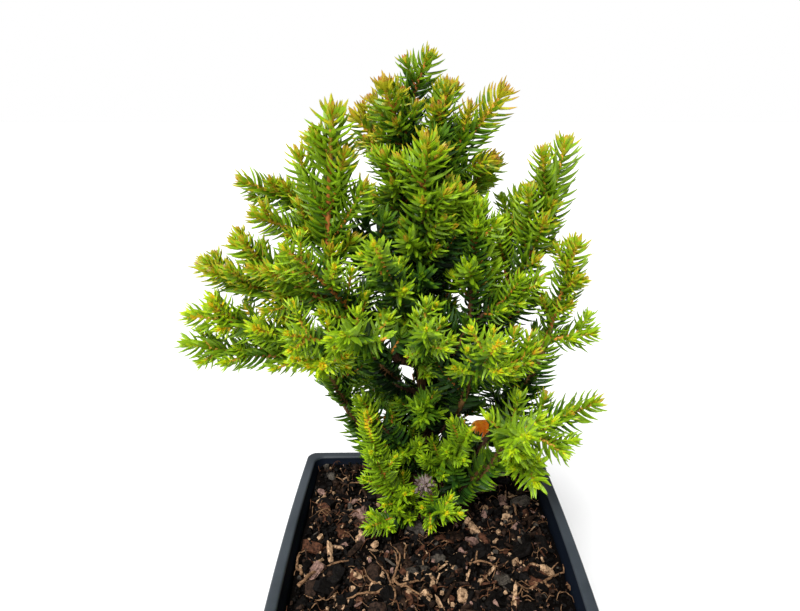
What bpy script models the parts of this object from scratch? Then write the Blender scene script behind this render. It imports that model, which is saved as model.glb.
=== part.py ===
"""Dwarf conifer in a square nursery pot, built as separate closed solids.

The pot stands on Z = 0 with its middle on the Z axis.  +X is to the viewer's right and
+Y is away from the viewer.  Lengths are in metres and angles in degrees.  A heading of
0 points along +X, 90 along +Y; a rise is the angle above the level.
"""
import math
import random

import bmesh
import bpy
import numpy as np
from mathutils import Vector

NAME = "potted_conifer"
SEED = 11
GAP = 0.0003                    # air left between neighbouring solids
MERGE = 1e-7                    # points this close are one point
UP = np.array((0.0, 0.0, 1.0))
NEARLY_UP = np.array((0.01, 0.02, 1.0))     # never in line with a side shoot's stem
TILTED_UP = np.array((0.3, 0.1, 1.0))       # never in line with a mass's leading shoot

# Pot: a tapered square tub with a collar and a thick lip.
POT_HEIGHT = 0.090
RIM_HALF = 0.045                # half the width over the lip
LIP_WIDTH = 0.0034
LIP_ROUND = 0.0007
LIP_DEPTH = 0.0016              # height of the lip's outer band
LIP_SLOPE = 0.0010              # height of the slope under that band
COLLAR_DEPTH = 0.0085
COLLAR_HALF = 0.0437
COLLAR_EDGE = 0.0008            # height of the slope under the collar
COLLAR_SPREAD = 0.0006          # how much wider the collar is at its top
SHOULDER_HALF = 0.0419          # just under the collar
LEDGE_DEPTH = 0.0040            # from the top down to the inner wall's full width
MIDDLE_SHARE = 0.45             # height of the ring at half way, as a share of the wall
BASE_HALF = 0.0325
BASE_ROUND = 0.0012
FLOOR_FILLET = 0.0010
WALL = 0.0016
SIDE_BOW = 0.0007               # how far a side swells between its corners
CORNER_ROUND = 0.0035
CORNER_STEPS = 3
DRAIN_RADIUS = 0.0045
DRAIN_OFFSET = 0.018
DRAIN_SIDES = 12

# Compost
SOIL_TOP = 0.0840
SOIL_HEAVE = 0.0012             # height of its lumps
SOIL_RINGS = 4
SOIL_FLAT = 0.012               # level ground round the trunk, as a radius
SOIL_FIT = 0.00035              # air between the compost and the pot's wall
SOIL_FOOT_ROUND = 0.0011        # how the compost's foot clears the floor's fillet
SOIL_EDGE_DEPTH = 0.0012        # the surface sinks by this at the wall
SOIL_SKIRT = 0.0032             # depth of the highest level ring on the wall

# Trunk
TRUNK_FOOT = np.array((-0.0004, 0.016, SOIL_TOP + GAP))
TRUNK_HEIGHT = 0.1275
TRUNK_LEAN = -0.031             # sideways run for each unit of height
TRUNK_STILL = 0.006             # the lean starts above this height
TRUNK_WAVER = 0.0006
TRUNK_WAVES = 1.5
TRUNK_TAPER_POWER = 0.8         # under 1, most of the taper is low down
TRUNK_FOOT_RADIUS = 0.0026
TRUNK_TIP_RADIUS = 0.0008
ROOT_FLARE = 0.0022
FLARE_HEIGHT = 0.0045
FLARE_POWER = 1.3
TRUNK_RINGS = 17
TRUNK_RING_POWER = 1.35         # over 1, the rings are closer at the foot
TRUNK_SIDES = 8

# Boughs
BOUGH_FOOT_RADIUS = 0.0016
BOUGH_TIP_RADIUS = 0.0011
BOUGH_RING_SPACING = 0.0080
BOUGH_SIDES = 6
DOME_RADII = (0.80, 0.35)       # the two rings of a bough's domed tip, as shares of its radius
DOME_STEPS = (0.60, 0.95)
BOUGH_SAG = 0.16                # how far a bough hangs below its chord, as a share of it

# name, height of the foot above the compost, heading, reach, rise to the tip
BOUGHS = (
    ("bough_left_up", 0.080, 197, 0.021, 0.018),
    ("bough_left_mid", 0.056, 215, 0.033, 0.027),
    ("bough_left_low", 0.010, 198, 0.033, 0.054),
    ("bough_front_left", 0.044, 229, 0.025, 0.028),
    ("bough_right_upper", 0.039, 9, 0.026, 0.042),
    ("bough_right_mid", 0.052, 340, 0.015, 0.020),
    ("bough_right", 0.008, 358, 0.037, 0.057),
    ("bough_right_low", 0.005, 330, 0.030, 0.034),
    ("bough_front_right", 0.030, 305, 0.021, 0.028),
)

# Shoots.  A mass is one leading shoot and its side shoots.
STEM_RADIUS = 0.00085
STEM_ROOT_RADIUS = 0.00050      # where it meets its limb, so that three can share a tip
SIDE_RADIUS = 0.00070
SUNK_RADIUS = 0.00035           # a side shoot's root, buried in the stem's heart
SHOOT_TIP_RADIUS = 0.00025
SHOOT_TAPER = 0.62              # a shoot's last radius before its bud, as a share of the first
RING_SPACING = 0.0029           # between two whorls of needles
TILT_STEP = 0.38                # turn of each whorl on the one before, radians
STEM_BEND = 0.35                # share of a stem's length that keeps its first heading
FORK_ANGLE = 62                 # least angle between stems that leave one tip
FORK_ROUNDS = 200
FORK_PUSH = 0.02
STEEPEST_START = 55             # a stem leaves the trunk no steeper than this
STEM_AIR = 0.00027              # least air round a stem
STEM_TRIES = 60                 # bows that a stem tries, each a little wider
STEM_BOW_STEP = 0.00025
SIDE_ANGLE = 48                 # of a side shoot from the stem
SIDE_LIFT = 0.22                # upward curl of a side shoot, as a share of its length
SIDE_SHRINK = 0.45              # how much shorter a side shoot is at the stem's tip
SIDE_SCATTER = (0.95, 1.15)     # random share of its length
SIDE_DROOP = -0.20              # least upward part of a side shoot's direction
FIRST_SIDE = 0.14               # where the side shoots start and end on the stem
LAST_SIDE = 0.84
GOLDEN_ANGLE = 137.5
SHOOT_ROOM = 0.0018             # air between two shoots, for their needles
SPACE_SLACK = 0.0020            # how far a shoot may lean into a neighbour's space
TURN_TRIES = 6                  # places round the stem that a side shoot tries
TURN_STEP = 47
TRY_SHRINK = 0.06               # each try is this much shorter
BARE_WHORLS = 1                 # no needles on a shoot's root

NEEDLE_LENGTH = 0.0090
NEEDLE_TIP_SHARE = 0.62         # length of a shoot's last needles
NEEDLE_LENGTH_SCATTER = (0.92, 1.05)
NEEDLE_ANGLE = 54               # of a needle from its shoot
NEEDLE_TIP_ANGLE = 34
NEEDLE_ANGLE_SCATTER = 3
NEEDLE_BASE_RADIUS = 0.0009
NEEDLE_AIR = 0.00025
NEEDLE_SLACK = 0.0035
GROUND_AIR = 0.0012             # least height of a shoot or needle over the ground or the lip
WALL_AIR = 0.0015               # and its least distance from the pot's inner wall
MOST_STICKS = 12000
TRUNK_STICKS = 39
LIMB = -1                       # owner of the trunk's and boughs' sticks

# name, limb, height on the trunk or None for the limb's tip, heading, rise, length,
# number of side shoots, their reach
MASSES = (
    ("needles_top_leader", "trunk", None, 325, 81, 0.0225, 2, 0.008),
    ("needles_top_left", "trunk", 0.120, 216, 58, 0.026, 4, 0.009),
    ("needles_top_left_low", "trunk", 0.113, 164, 43, 0.030, 4, 0.010),
    ("needles_top_right", "trunk", 0.117, 333, 71, 0.0265, 4, 0.009),
    ("needles_top_right_arm", "trunk", 0.111, 345, 50, 0.038, 3, 0.008),
    ("needles_upper_right", "trunk", 0.101, 18, 36, 0.032, 4, 0.011),
    ("needles_centre_upper", "trunk", 0.088, 273, 64, 0.045, 4, 0.012),
    ("needles_upper_mid_left", "trunk", 0.101, 226, 54, 0.028, 4, 0.010),
    ("needles_upper_mid_right", "trunk", 0.095, 304, 46, 0.028, 4, 0.010),
    ("needles_left_up", "bough_left_up", None, 187, 30, 0.0365, 4, 0.010),
    ("needles_left_up_low", "bough_left_up", None, 204, 18, 0.031, 3, 0.010),
    ("needles_left_leader", "bough_left_mid", None, 310, 83, 0.0535, 5, 0.011),
    ("needles_left_mid", "bough_left_mid", None, 178, 34, 0.032, 4, 0.012),
    ("needles_left_out", "bough_left_mid", None, 169, 13, 0.040, 4, 0.013),
    ("needles_left_low_out", "bough_left_low", None, 180, 4, 0.044, 5, 0.011),
    ("needles_left_low_up", "bough_left_low", None, 188, 20, 0.0425, 4, 0.013),
    ("needles_left_low_front", "bough_left_low", None, 277, 15, 0.0286, 3, 0.012),
    ("needles_front_left_up", "bough_front_left", None, 215, 51, 0.0404, 4, 0.012),
    ("needles_front_left_out", "bough_front_left", None, 226, 18, 0.0311, 4, 0.013),
    ("needles_front_left_star", "bough_front_left", None, 262, 23, 0.034, 3, 0.012),
    ("needles_front_star_left", "trunk", 0.066, 252, 44, 0.0565, 5, 0.012),
    ("needles_front_stars", "trunk", 0.058, 270, 30, 0.060, 7, 0.013),
    ("needles_right_leader", "bough_right_upper", None, 7, 71, 0.048, 4, 0.010),
    ("needles_right_inner", "bough_right_upper", None, 69, 71, 0.032, 4, 0.011),
    ("needles_right_mid_up", "bough_right_mid", None, 277, 80, 0.040, 4, 0.011),
    ("needles_right_mid_out", "bough_right_mid", None, 7, 33, 0.030, 3, 0.010),
    ("needles_right_out_up", "bough_right", None, 334, 78, 0.035, 4, 0.009),
    ("needles_right_out", "bough_right", None, 343, 16, 0.0166, 2, 0.008),
    ("needles_right_mid_low", "bough_front_right", None, 345, 32, 0.024, 4, 0.011),
    ("needles_right_front_stars", "bough_front_right", None, 278, 40, 0.038, 5, 0.012),
    ("needles_right_low_out", "bough_right_low", None, 6, 22, 0.0295, 2, 0.009),
    ("needles_right_low_edge", "bough_right_low", None, 323, 0, 0.019, 3, 0.009),
    ("needles_right_low_star", "bough_right_low", None, 265, 30, 0.041, 5, 0.012),
    ("needles_right_low_hang", "bough_right_low", None, 279, -9, 0.023, 4, 0.010),
    ("needles_foot_left", "trunk", 0.006, 228, 58, 0.054, 5, 0.010),
    ("needles_foot_front_left", "trunk", 0.004, 230, 13, 0.032, 3, 0.010),
    ("needles_foot_front", "trunk", 0.006, 281, 27, 0.035, 3, 0.010),
    ("needles_low_arm", "trunk", 0.018, 296, 46, 0.045, 4, 0.011),
    ("needles_low_shade", "trunk", 0.038, 270, 36, 0.027, 3, 0.011),
    ("needles_low_left", "trunk", 0.022, 180, 68, 0.045, 4, 0.012),
    ("needles_low_left_out", "trunk", 0.020, 224, 50, 0.046, 4, 0.010),
    ("needles_back_low", "trunk", 0.024, 88, 36, 0.046, 4, 0.013),
    ("needles_back_left", "trunk", 0.030, 140, 25, 0.053, 5, 0.014),
    ("needles_back_right", "trunk", 0.034, 42, 38, 0.056, 5, 0.014),
    ("needles_back_mid", "trunk", 0.054, 92, 42, 0.056, 5, 0.014),
    ("needles_back_left_up", "trunk", 0.070, 122, 50, 0.050, 4, 0.013),
    ("needles_back_right_up", "trunk", 0.064, 58, 50, 0.052, 4, 0.013),
    ("needles_back_upper", "trunk", 0.092, 88, 52, 0.038, 4, 0.012),
)

# Colours
POT_COLOUR = (0.035, 0.043, 0.050, 1.0)
SOIL_COLOUR = (0.030, 0.020, 0.014, 1.0)
BARK_COLOUR = (0.180, 0.085, 0.035, 1.0)
BRONZE_COLOUR = (0.240, 0.130, 0.030, 1.0)
LIME_COLOUR = (0.260, 0.330, 0.030, 1.0)
GREEN_COLOUR = (0.090, 0.160, 0.020, 1.0)
DEEP_COLOUR = (0.022, 0.048, 0.012, 1.0)


# Stems that bend: the rise at which they leave their limb. Over 90 they lean back first.
FIRST_RISES = {
    "needles_top_leader": 130,
    "needles_left_leader": 112,
    "needles_right_low_edge": 42,
    "needles_foot_left": 14,
}


def heading_vector(heading, rise):
    """Unit vector of a heading and a rise."""
    turn = math.radians(heading)
    lift = math.radians(rise)
    level = math.cos(lift)
    return np.array((level * math.cos(turn), level * math.sin(turn), math.sin(lift)))


def unit(vector):
    """The vector brought to a length of one."""
    return vector / np.linalg.norm(vector)


def bend(start, middle, end, shares):
    """Points of a quadratic curve from start to end, pulled towards middle."""
    share = np.asarray(shares)[:, None]
    return (1 - share) ** 2 * start + 2 * share * (1 - share) * middle + share ** 2 * end


# ---------------------------------------------------------------- scene helpers

def clear_scene():
    """Remove every object that the file opened with."""
    for item in list(bpy.data.objects):
        bpy.data.objects.remove(item, do_unlink=True)


def new_collection(name):
    """An empty collection, linked to the scene."""
    collection = bpy.data.collections.new(name)
    bpy.context.scene.collection.children.link(collection)
    return collection


def new_material(name, colour, roughness):
    """A plain finish for one solid."""
    material = bpy.data.materials.new(name)
    material.use_nodes = True
    shader = material.node_tree.nodes["Principled BSDF"]
    shader.inputs["Base Color"].default_value = colour
    shader.inputs["Roughness"].default_value = roughness
    shader.inputs["Metallic"].default_value = 0.0
    material.diffuse_color = colour
    return material


def place_mesh(name, mesh, collection):
    """Link a mesh to a collection as an object of that name."""
    item = bpy.data.objects.new(name, mesh)
    collection.objects.link(item)
    return item


def mesh_from(shape, name):
    """Turn a bmesh into a mesh, with its faces pointing out, also on a thin shape."""
    bmesh.ops.recalc_face_normals(shape, faces=shape.faces)
    if shape.calc_volume(signed=True) < 0:
        bmesh.ops.reverse_faces(shape, faces=shape.faces)
    mesh = bpy.data.meshes.new(name)
    shape.to_mesh(mesh)
    shape.free()
    return mesh


def evaluated_mesh(item):
    """The object's mesh with its modifiers applied."""
    bpy.context.view_layer.update()
    graph = bpy.context.evaluated_depsgraph_get()
    return bpy.data.meshes.new_from_object(item.evaluated_get(graph))


def apply_boolean(item, operation, solver, other=None, group=None):
    """Apply one Boolean with another object or a whole collection."""
    step = item.modifiers.new(operation.lower(), "BOOLEAN")
    step.operation = operation
    step.solver = solver
    if group is None:
        step.object = other
    else:
        step.operand_type = "COLLECTION"
        step.collection = group
    mesh = evaluated_mesh(item)
    item.modifiers.clear()
    old = item.data
    item.data = mesh
    bpy.data.meshes.remove(old)


def sweep(points, radii, sides, tilt_step=0.0):
    """A closed tube along points, as a bmesh, and its side faces in order from the root."""
    curve = bpy.data.curves.new("sweep", "CURVE")
    curve.dimensions = "3D"
    curve.use_fill_caps = True
    profile = None
    if sides == 3:
        profile = three_sided_profile()
        curve.bevel_mode = "OBJECT"
        curve.bevel_object = profile
    else:
        curve.bevel_depth = 1.0
        curve.bevel_resolution = (sides - 4) // 2
    spline = curve.splines.new("POLY")
    spline.points.add(len(points) - 1)
    for index, (point, radius) in enumerate(zip(points, radii)):
        spline.points[index].co = (*point, 1.0)
        spline.points[index].radius = radius
        spline.points[index].tilt = index * tilt_step
    item = place_mesh("sweep", curve, bpy.context.scene.collection)
    mesh = evaluated_mesh(item)
    shape = bmesh.new()
    shape.from_mesh(mesh)
    walls = [face for face in shape.faces if len(face.verts) == 4]
    bmesh.ops.remove_doubles(shape, verts=shape.verts, dist=MERGE)
    bpy.data.objects.remove(item)
    bpy.data.curves.remove(curve)
    bpy.data.meshes.remove(mesh)
    if profile is not None:
        remove_profile(profile)
    return shape, walls


def three_sided_profile():
    """The section of a needle shoot: a triangle whose corners are one unit out."""
    curve = bpy.data.curves.new("section", "CURVE")
    spline = curve.splines.new("POLY")
    spline.points.add(2)
    for index in range(3):
        turn = 2 * math.pi * index / 3
        spline.points[index].co = (math.cos(turn), math.sin(turn), 0.0, 1.0)
    spline.use_cyclic_u = True
    return place_mesh("section", curve, bpy.context.scene.collection)


def remove_profile(profile):
    """Remove a section object and its curve."""
    curve = profile.data
    bpy.data.objects.remove(profile)
    bpy.data.curves.remove(curve)


# ---------------------------------------------------------------- pot and compost

def square_ring(half, bow, height):
    """A rounded square whose sides swell by bow between the corners."""
    points = []
    corner = min(CORNER_ROUND, half * 0.5)
    flat = half - corner
    for quarter in range(4):
        turn = quarter * math.pi / 2
        side = ((flat, -flat), (flat, 0.0))
        for along, across in side:
            swell = bow * (1 - (across / flat) ** 2)
            points.append(turned(half + swell, across, turn, height))
        for step in range(CORNER_STEPS + 1):
            angle = step * (math.pi / 2) / CORNER_STEPS
            x = flat + corner * math.cos(angle)
            y = flat + corner * math.sin(angle)
            points.append(turned(x, y, turn, height))
    return tidy_ring(points)


def turned(x, y, turn, height):
    """A point of one side, turned to its quarter."""
    cosine = math.cos(turn)
    sine = math.sin(turn)
    return (x * cosine - y * sine, x * sine + y * cosine, height)


def tidy_ring(points):
    """The ring without a point that repeats the one before."""
    kept = []
    for point in points:
        if not kept or math.dist(point, kept[-1]) > MERGE:
            kept.append(point)
    if math.dist(kept[0], kept[-1]) < MERGE:
        kept.pop()
    return kept


def loft(rings):
    """Join rings of equal length into one closed shape."""
    shape = bmesh.new()
    loops = [[shape.verts.new(point) for point in ring] for ring in rings]
    for lower, upper in zip(loops, loops[1:]):
        for index in range(len(lower)):
            after = (index + 1) % len(lower)
            shape.faces.new((lower[index], lower[after], upper[after], upper[index]))
    shape.faces.new(reversed(loops[0]))
    shape.faces.new(loops[-1])
    return shape


def outer_half(height):
    """Half the pot's outer width below the collar."""
    share = height / (POT_HEIGHT - COLLAR_DEPTH)
    return BASE_HALF + (SHOULDER_HALF - BASE_HALF) * share


def inner_half(height):
    """Half the pot's inner width, one wall inside the outer face."""
    return outer_half(min(height, POT_HEIGHT - COLLAR_DEPTH)) - WALL


def pot_rings():
    """The pot's skin from the middle of its foot, up over the lip and down inside."""
    shoulder = POT_HEIGHT - COLLAR_DEPTH
    middle = MIDDLE_SHARE * shoulder
    lip_inner = RIM_HALF - LIP_WIDTH
    floor_half = inner_half(0.0)
    outline = (
        (BASE_HALF - BASE_ROUND, 0.0),
        (BASE_HALF, BASE_ROUND),
        (outer_half(middle), middle),
        (SHOULDER_HALF, shoulder),
        (COLLAR_HALF, shoulder + COLLAR_EDGE),
        (COLLAR_HALF + COLLAR_SPREAD, POT_HEIGHT - LIP_DEPTH - LIP_SLOPE),
        (RIM_HALF, POT_HEIGHT - LIP_DEPTH),
        (RIM_HALF, POT_HEIGHT - LIP_ROUND),
        (RIM_HALF - LIP_ROUND, POT_HEIGHT),
        (lip_inner + LIP_ROUND, POT_HEIGHT),
        (lip_inner, POT_HEIGHT - LIP_ROUND),
        (inner_half(shoulder), POT_HEIGHT - LEDGE_DEPTH),
        (inner_half(shoulder), shoulder),
        (inner_half(middle), middle),
        (floor_half - FLOOR_FILLET / 2, WALL + FLOOR_FILLET),
        (floor_half - FLOOR_FILLET * 1.5, WALL),
    )
    return [square_ring(half, bow_at(height), height) for half, height in outline]


def bow_at(height):
    """The sides swell most at the lip and not at all at the foot."""
    return SIDE_BOW * height / POT_HEIGHT


def build_pot(collection, cutters):
    """The tub, with four drain holes through its floor."""
    pot = place_mesh("pot", mesh_from(loft(pot_rings()), "pot"), collection)
    for x_side in (-1, 1):
        for y_side in (-1, 1):
            hole = drain_cutter(x_side * DRAIN_OFFSET, y_side * DRAIN_OFFSET, cutters)
            apply_boolean(pot, "DIFFERENCE", "EXACT", other=hole)
    shade_round(pot)
    return pot


def drain_cutter(x, y, cutters):
    """A short cylinder that pierces the floor."""
    shape = bmesh.new()
    bmesh.ops.create_cone(shape, cap_ends=True, segments=DRAIN_SIDES, radius1=DRAIN_RADIUS,
                          radius2=DRAIN_RADIUS, depth=4 * WALL)
    hole = place_mesh("drain_cutter", mesh_from(shape, "drain_cutter"), cutters)
    hole.location = (x, y, 0.0)
    hole.hide_render = True
    hole.display_type = "WIRE"
    return hole


def soil_rings():
    """The compost's level rings, from the floor up the wall to its edge."""
    bottom = WALL + GAP
    outline = (
        (bottom, SOIL_FIT + 2 * SOIL_FOOT_ROUND),
        (bottom + SOIL_FOOT_ROUND, SOIL_FIT + SOIL_FOOT_ROUND),
        (MIDDLE_SHARE * (POT_HEIGHT - COLLAR_DEPTH), SOIL_FIT),
        (SOIL_TOP - SOIL_SKIRT, SOIL_FIT),
        (SOIL_TOP - SOIL_EDGE_DEPTH, SOIL_FIT),
    )
    return [square_ring(inner_half(height) - air, bow_at(height), height) for height, air in outline]


def build_soil(collection):
    """Compost that fills the pot, lumpy on top and level round the trunk."""
    rings = soil_rings()
    edge = rings[-1]
    middle = (TRUNK_FOOT[0], TRUNK_FOOT[1])
    noise = random.Random(SEED)
    for ring in range(1, SOIL_RINGS):
        share = ring / SOIL_RINGS
        rings.append([soil_point(point, middle, share, noise) for point in edge])
    soil = place_mesh("soil", mesh_from(loft(rings), "soil"), collection)
    shade_round(soil)
    return soil


def soil_point(point, middle, share, noise):
    """A point of the surface, drawn from the wall towards the trunk and sunk at random."""
    x = point[0] + (middle[0] - point[0]) * share
    y = point[1] + (middle[1] - point[1]) * share
    away = math.dist((x, y), middle)
    lump = SOIL_HEAVE * (noise.random() - 1.0)
    if away < SOIL_FLAT:
        lump = 0.0
    return (x, y, SOIL_TOP + lump)


def shade_round(item):
    """Smooth shading, with sharp edges kept."""
    item.data.shade_smooth()
    item.data.set_sharp_from_angle(angle=math.radians(35))


# ---------------------------------------------------------------- trunk and boughs

def trunk_point(height):
    """The trunk's middle at a height above its foot: a lean with a slow waver."""
    eased = max(0.0, height - TRUNK_STILL)
    waver = TRUNK_WAVER * math.sin(eased / TRUNK_HEIGHT * TRUNK_WAVES * 2 * math.pi)
    return TRUNK_FOOT + np.array((TRUNK_LEAN * eased + waver, 0.5 * waver, height))


def trunk_radius(height):
    """The trunk's radius: a taper to the tip, with a flare at the root."""
    share = (height / TRUNK_HEIGHT) ** TRUNK_TAPER_POWER
    taper = TRUNK_FOOT_RADIUS + (TRUNK_TIP_RADIUS - TRUNK_FOOT_RADIUS) * share
    return taper + ROOT_FLARE * math.exp(-(height / FLARE_HEIGHT) ** FLARE_POWER)


def trunk_tube(extra):
    """The trunk's tube, grown outwards by extra all round."""
    heights = TRUNK_HEIGHT * np.linspace(0, 1, TRUNK_RINGS + 1) ** TRUNK_RING_POWER
    points = [trunk_point(height) for height in heights]
    radii = [trunk_radius(height) + extra for height in heights]
    shape, _ = sweep(points, radii, TRUNK_SIDES)
    return shape


def build_trunk(collection):
    """The one stem, whole from the ground to its tip."""
    trunk = place_mesh("trunk", mesh_from(trunk_tube(0.0), "trunk"), collection)
    shade_round(trunk)
    return trunk


def bough_path(foot_height, heading, reach, rise):
    """A bough's middle line from the trunk's heart to its tip, hanging under its chord."""
    foot = trunk_point(foot_height)
    level = heading_vector(heading, 0)
    tip = foot + level * reach + UP * rise
    chord = math.hypot(reach, rise)
    across = unit(np.cross(np.cross(level, UP), tip - foot))
    sag = across if across[2] < 0 else -across
    middle = (foot + tip) / 2 + sag * BOUGH_SAG * chord
    rings = max(5, round(chord / BOUGH_RING_SPACING))
    return bend(foot, middle, tip, np.linspace(0, 1, rings + 1))


def bough_radii(count):
    """A bough's radii: an even taper, closed by a small dome."""
    body = list(np.linspace(BOUGH_FOOT_RADIUS, BOUGH_TIP_RADIUS, count))
    return body + [BOUGH_TIP_RADIUS * share for share in DOME_RADII]


def domed(path):
    """The path with two more points that carry the dome at its tip."""
    onward = unit(path[-1] - path[-2]) * BOUGH_TIP_RADIUS
    return np.vstack((path, *(path[-1] + onward * step for step in DOME_STEPS)))


def build_boughs(collection, cutters, paths):
    """Each bough as one limb, its foot cut to stand clear of the trunk."""
    core = place_mesh("trunk_clearance", mesh_from(trunk_tube(GAP), "trunk_clearance"), cutters)
    core.hide_render = True
    core.display_type = "WIRE"
    boughs = []
    for name, path in paths.items():
        shape, _ = sweep(domed(path), bough_radii(len(path)), BOUGH_SIDES)
        bough = place_mesh(name, mesh_from(shape, name), collection)
        apply_boolean(bough, "DIFFERENCE", "EXACT", other=core)
        shade_round(bough)
        boughs.append(bough)
    return boughs


# ---------------------------------------------------------------- room between shoots

class Room:
    """Round sticks that are already in place, each a tapered piece with an owner."""

    def __init__(self, most):
        self.start = np.zeros((most, 3))
        self.end = np.zeros((most, 3))
        self.radius = np.zeros((most, 2))
        self.owner = np.full(most, -1)
        self.count = 0

    def add(self, start, end, radii, owner):
        """Put one stick in place."""
        self.start[self.count] = start
        self.end[self.count] = end
        self.radius[self.count] = radii
        self.owner[self.count] = owner
        self.count += 1

    def add_path(self, path, radii, owner):
        """Put a chain of sticks in place."""
        for index in range(len(path) - 1):
            self.add(path[index], path[index + 1], radii[index:index + 2], owner)

    def gaps(self, start, end, radii):
        """Air between a new stick and each one in place, by the nearest points of both."""
        used = slice(0, self.count)
        along = end - start
        others = self.end[used] - self.start[used]
        apart = start - self.start[used]
        own = along @ along
        theirs = np.einsum("ij,ij->i", others, others) + 1e-15
        mixed = others @ along
        lead = apart @ along
        follow = np.einsum("ij,ij->i", others, apart)
        spread = own * theirs - mixed ** 2
        share = np.clip((mixed * follow - lead * theirs) / np.maximum(spread, 1e-18), 0, 1)
        other = np.clip((mixed * share + follow) / theirs, 0, 1)
        share = np.clip((mixed * other - lead) / own, 0, 1)
        nearest = apart + share[:, None] * along - other[:, None] * others
        distance = np.linalg.norm(nearest, axis=1)
        mine = radii[0] + (radii[1] - radii[0]) * share
        width = self.radius[used]
        return distance - mine - width[:, 0] - (width[:, 1] - width[:, 0]) * other


def inside_ground(point):
    """True where a point is in the compost, in the pot's wall or too close to them."""
    opening = inner_half(POT_HEIGHT) - WALL_AIR
    if max(abs(point[0]), abs(point[1])) < opening:
        return point[2] < SOIL_TOP + GROUND_AIR
    return point[2] < POT_HEIGHT + GROUND_AIR


def distance_to_path(point, path):
    """Shortest distance from a point to a chain of sticks."""
    start = path[:-1]
    along = path[1:] - start
    share = np.einsum("ij,ij->i", point - start, along) / np.einsum("ij,ij->i", along, along)
    nearest = start + np.clip(share, 0, 1)[:, None] * along
    return np.linalg.norm(point - nearest, axis=1).min()


# ---------------------------------------------------------------- planning the shoots

def spread_apart(directions):
    """Turn directions away from each other until they are a fork angle apart."""
    directions = [unit(direction) for direction in directions]
    least = math.cos(math.radians(FORK_ANGLE))
    for _ in range(FORK_ROUNDS):
        for first in range(len(directions)):
            for second in range(first + 1, len(directions)):
                a, b = directions[first], directions[second]
                if a @ b > least:
                    push = unit(a - b) * FORK_PUSH
                    directions[first] = unit(a + push)
                    directions[second] = unit(b - push)
    return directions


def start_headings():
    """The first heading of every mass's stem, spread apart where stems share a tip."""
    first = {}
    for limb in {row[1] for row in MASSES if row[2] is None}:
        rows = [row for row in MASSES if row[1] == limb and row[2] is None]
        wanted = [heading_vector(row[3], FIRST_RISES.get(row[0], row[4])) for row in rows]
        for row, direction in zip(rows, spread_apart(wanted)):
            first[row[0]] = direction
    for row in MASSES:
        if row[2] is not None:
            rise = FIRST_RISES.get(row[0], min(row[4], STEEPEST_START))
            first[row[0]] = heading_vector(row[3], rise)
    return first


def stem_start(row, direction, limb_ends):
    """Where a mass's stem begins, a gap away from its limb."""
    name, limb, height = row[:3]
    if height is None:
        end, radius = limb_ends[limb]
        return end + direction * (radius + GAP)
    slope = direction[2] / math.hypot(direction[0], direction[1])
    level = unit(np.array((direction[0], direction[1], 0.0)))
    clear = trunk_radius(height) + GAP + STEM_RADIUS * math.sin(math.atan(slope))
    return trunk_point(height) + level * clear


def plan_stem(row, direction, limb_ends, room):
    """A mass's leading shoot: the straightest one that clears what is in place."""
    limb, height, heading, rise, length = row[1:6]
    base = trunk_point(height) if height is not None else limb_ends[limb][0]
    start = stem_start(row, direction, limb_ends)
    tip = base + heading_vector(heading, rise) * (length - 0.5 * NEEDLE_TIP_SHARE * NEEDLE_LENGTH)
    middle = start + direction * STEM_BEND * np.linalg.norm(tip - start)
    across = unit(np.cross(tip - start, TILTED_UP))
    over = unit(np.cross(across, tip - start))
    shares = np.linspace(0, 1, max(3, round(length / RING_SPACING)) + 1)
    for attempt in range(STEM_TRIES):
        turn = math.radians(attempt * GOLDEN_ANGLE)
        bow = (across * math.cos(turn) + over * math.sin(turn)) * attempt * STEM_BOW_STEP
        path = bend(start, middle + bow, tip, shares)
        radii = [0.0] + stem_radii(len(path))[1:]
        sticks = zip(path, path[1:], radii, radii[1:])
        if all(room.gaps(a, b, (c, d)).min() > STEM_AIR for a, b, c, d in sticks):
            break
    return path


def stem_radii(count):
    """Radii along a mass's leading shoot, thin where it meets its limb."""
    return [STEM_ROOT_RADIUS] + shoot_radii(count - 1, STEM_RADIUS)


def shoot_radii(count, first):
    """Radii along a shoot, ending in a fine bud."""
    radii = list(np.linspace(first, first * SHOOT_TAPER, count))
    radii[-1] = SHOOT_TIP_RADIUS
    return radii


def side_path(stem, share, turn, length):
    """A side shoot: it leaves the stem at the side angle and curls up."""
    place = share * (len(stem) - 1)
    index = min(int(place), len(stem) - 2)
    root = stem[index] + (stem[index + 1] - stem[index]) * (place - index)
    onward = unit(stem[index + 1] - stem[index])
    across = unit(np.cross(onward, NEARLY_UP))
    over = np.cross(across, onward)
    sideways = across * math.cos(turn) + over * math.sin(turn)
    angle = math.radians(SIDE_ANGLE)
    direction = onward * math.cos(angle) + sideways * math.sin(angle)
    middle = root + direction * length * 0.5
    end = root + direction * length + UP * length * SIDE_LIFT
    whorls = max(3, round(length / RING_SPACING))
    return bend(root, middle, end, np.linspace(0, 1, whorls + 1))


def plan_sides(owner, stems, room, noise):
    """Side shoots of one mass: each takes the first free place round the stem."""
    count, longest = MASSES[owner][6:8]
    stem = stems[owner]
    others = [path for other, path in enumerate(stems) if other != owner]
    turn = noise.uniform(0, 360)
    sides = []
    for index in range(count):
        share = FIRST_SIDE + (LAST_SIDE - FIRST_SIDE) * (index + 0.5) / count
        reach = longest * (1 - SIDE_SHRINK * share) * noise.uniform(*SIDE_SCATTER)
        turn += GOLDEN_ANGLE
        for attempt in range(TURN_TRIES):
            angle = math.radians(turn + attempt * TURN_STEP)
            path = side_path(stem, share, angle, reach * (1 - TRY_SHRINK * attempt))
            if side_fits(path, owner, stem, others, room):
                radii = [SUNK_RADIUS] + shoot_radii(len(path) - 1, SIDE_RADIUS)
                room.add_path(path[1:], radii[1:], owner)
                sides.append((path, radii))
                break
    return sides


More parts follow.
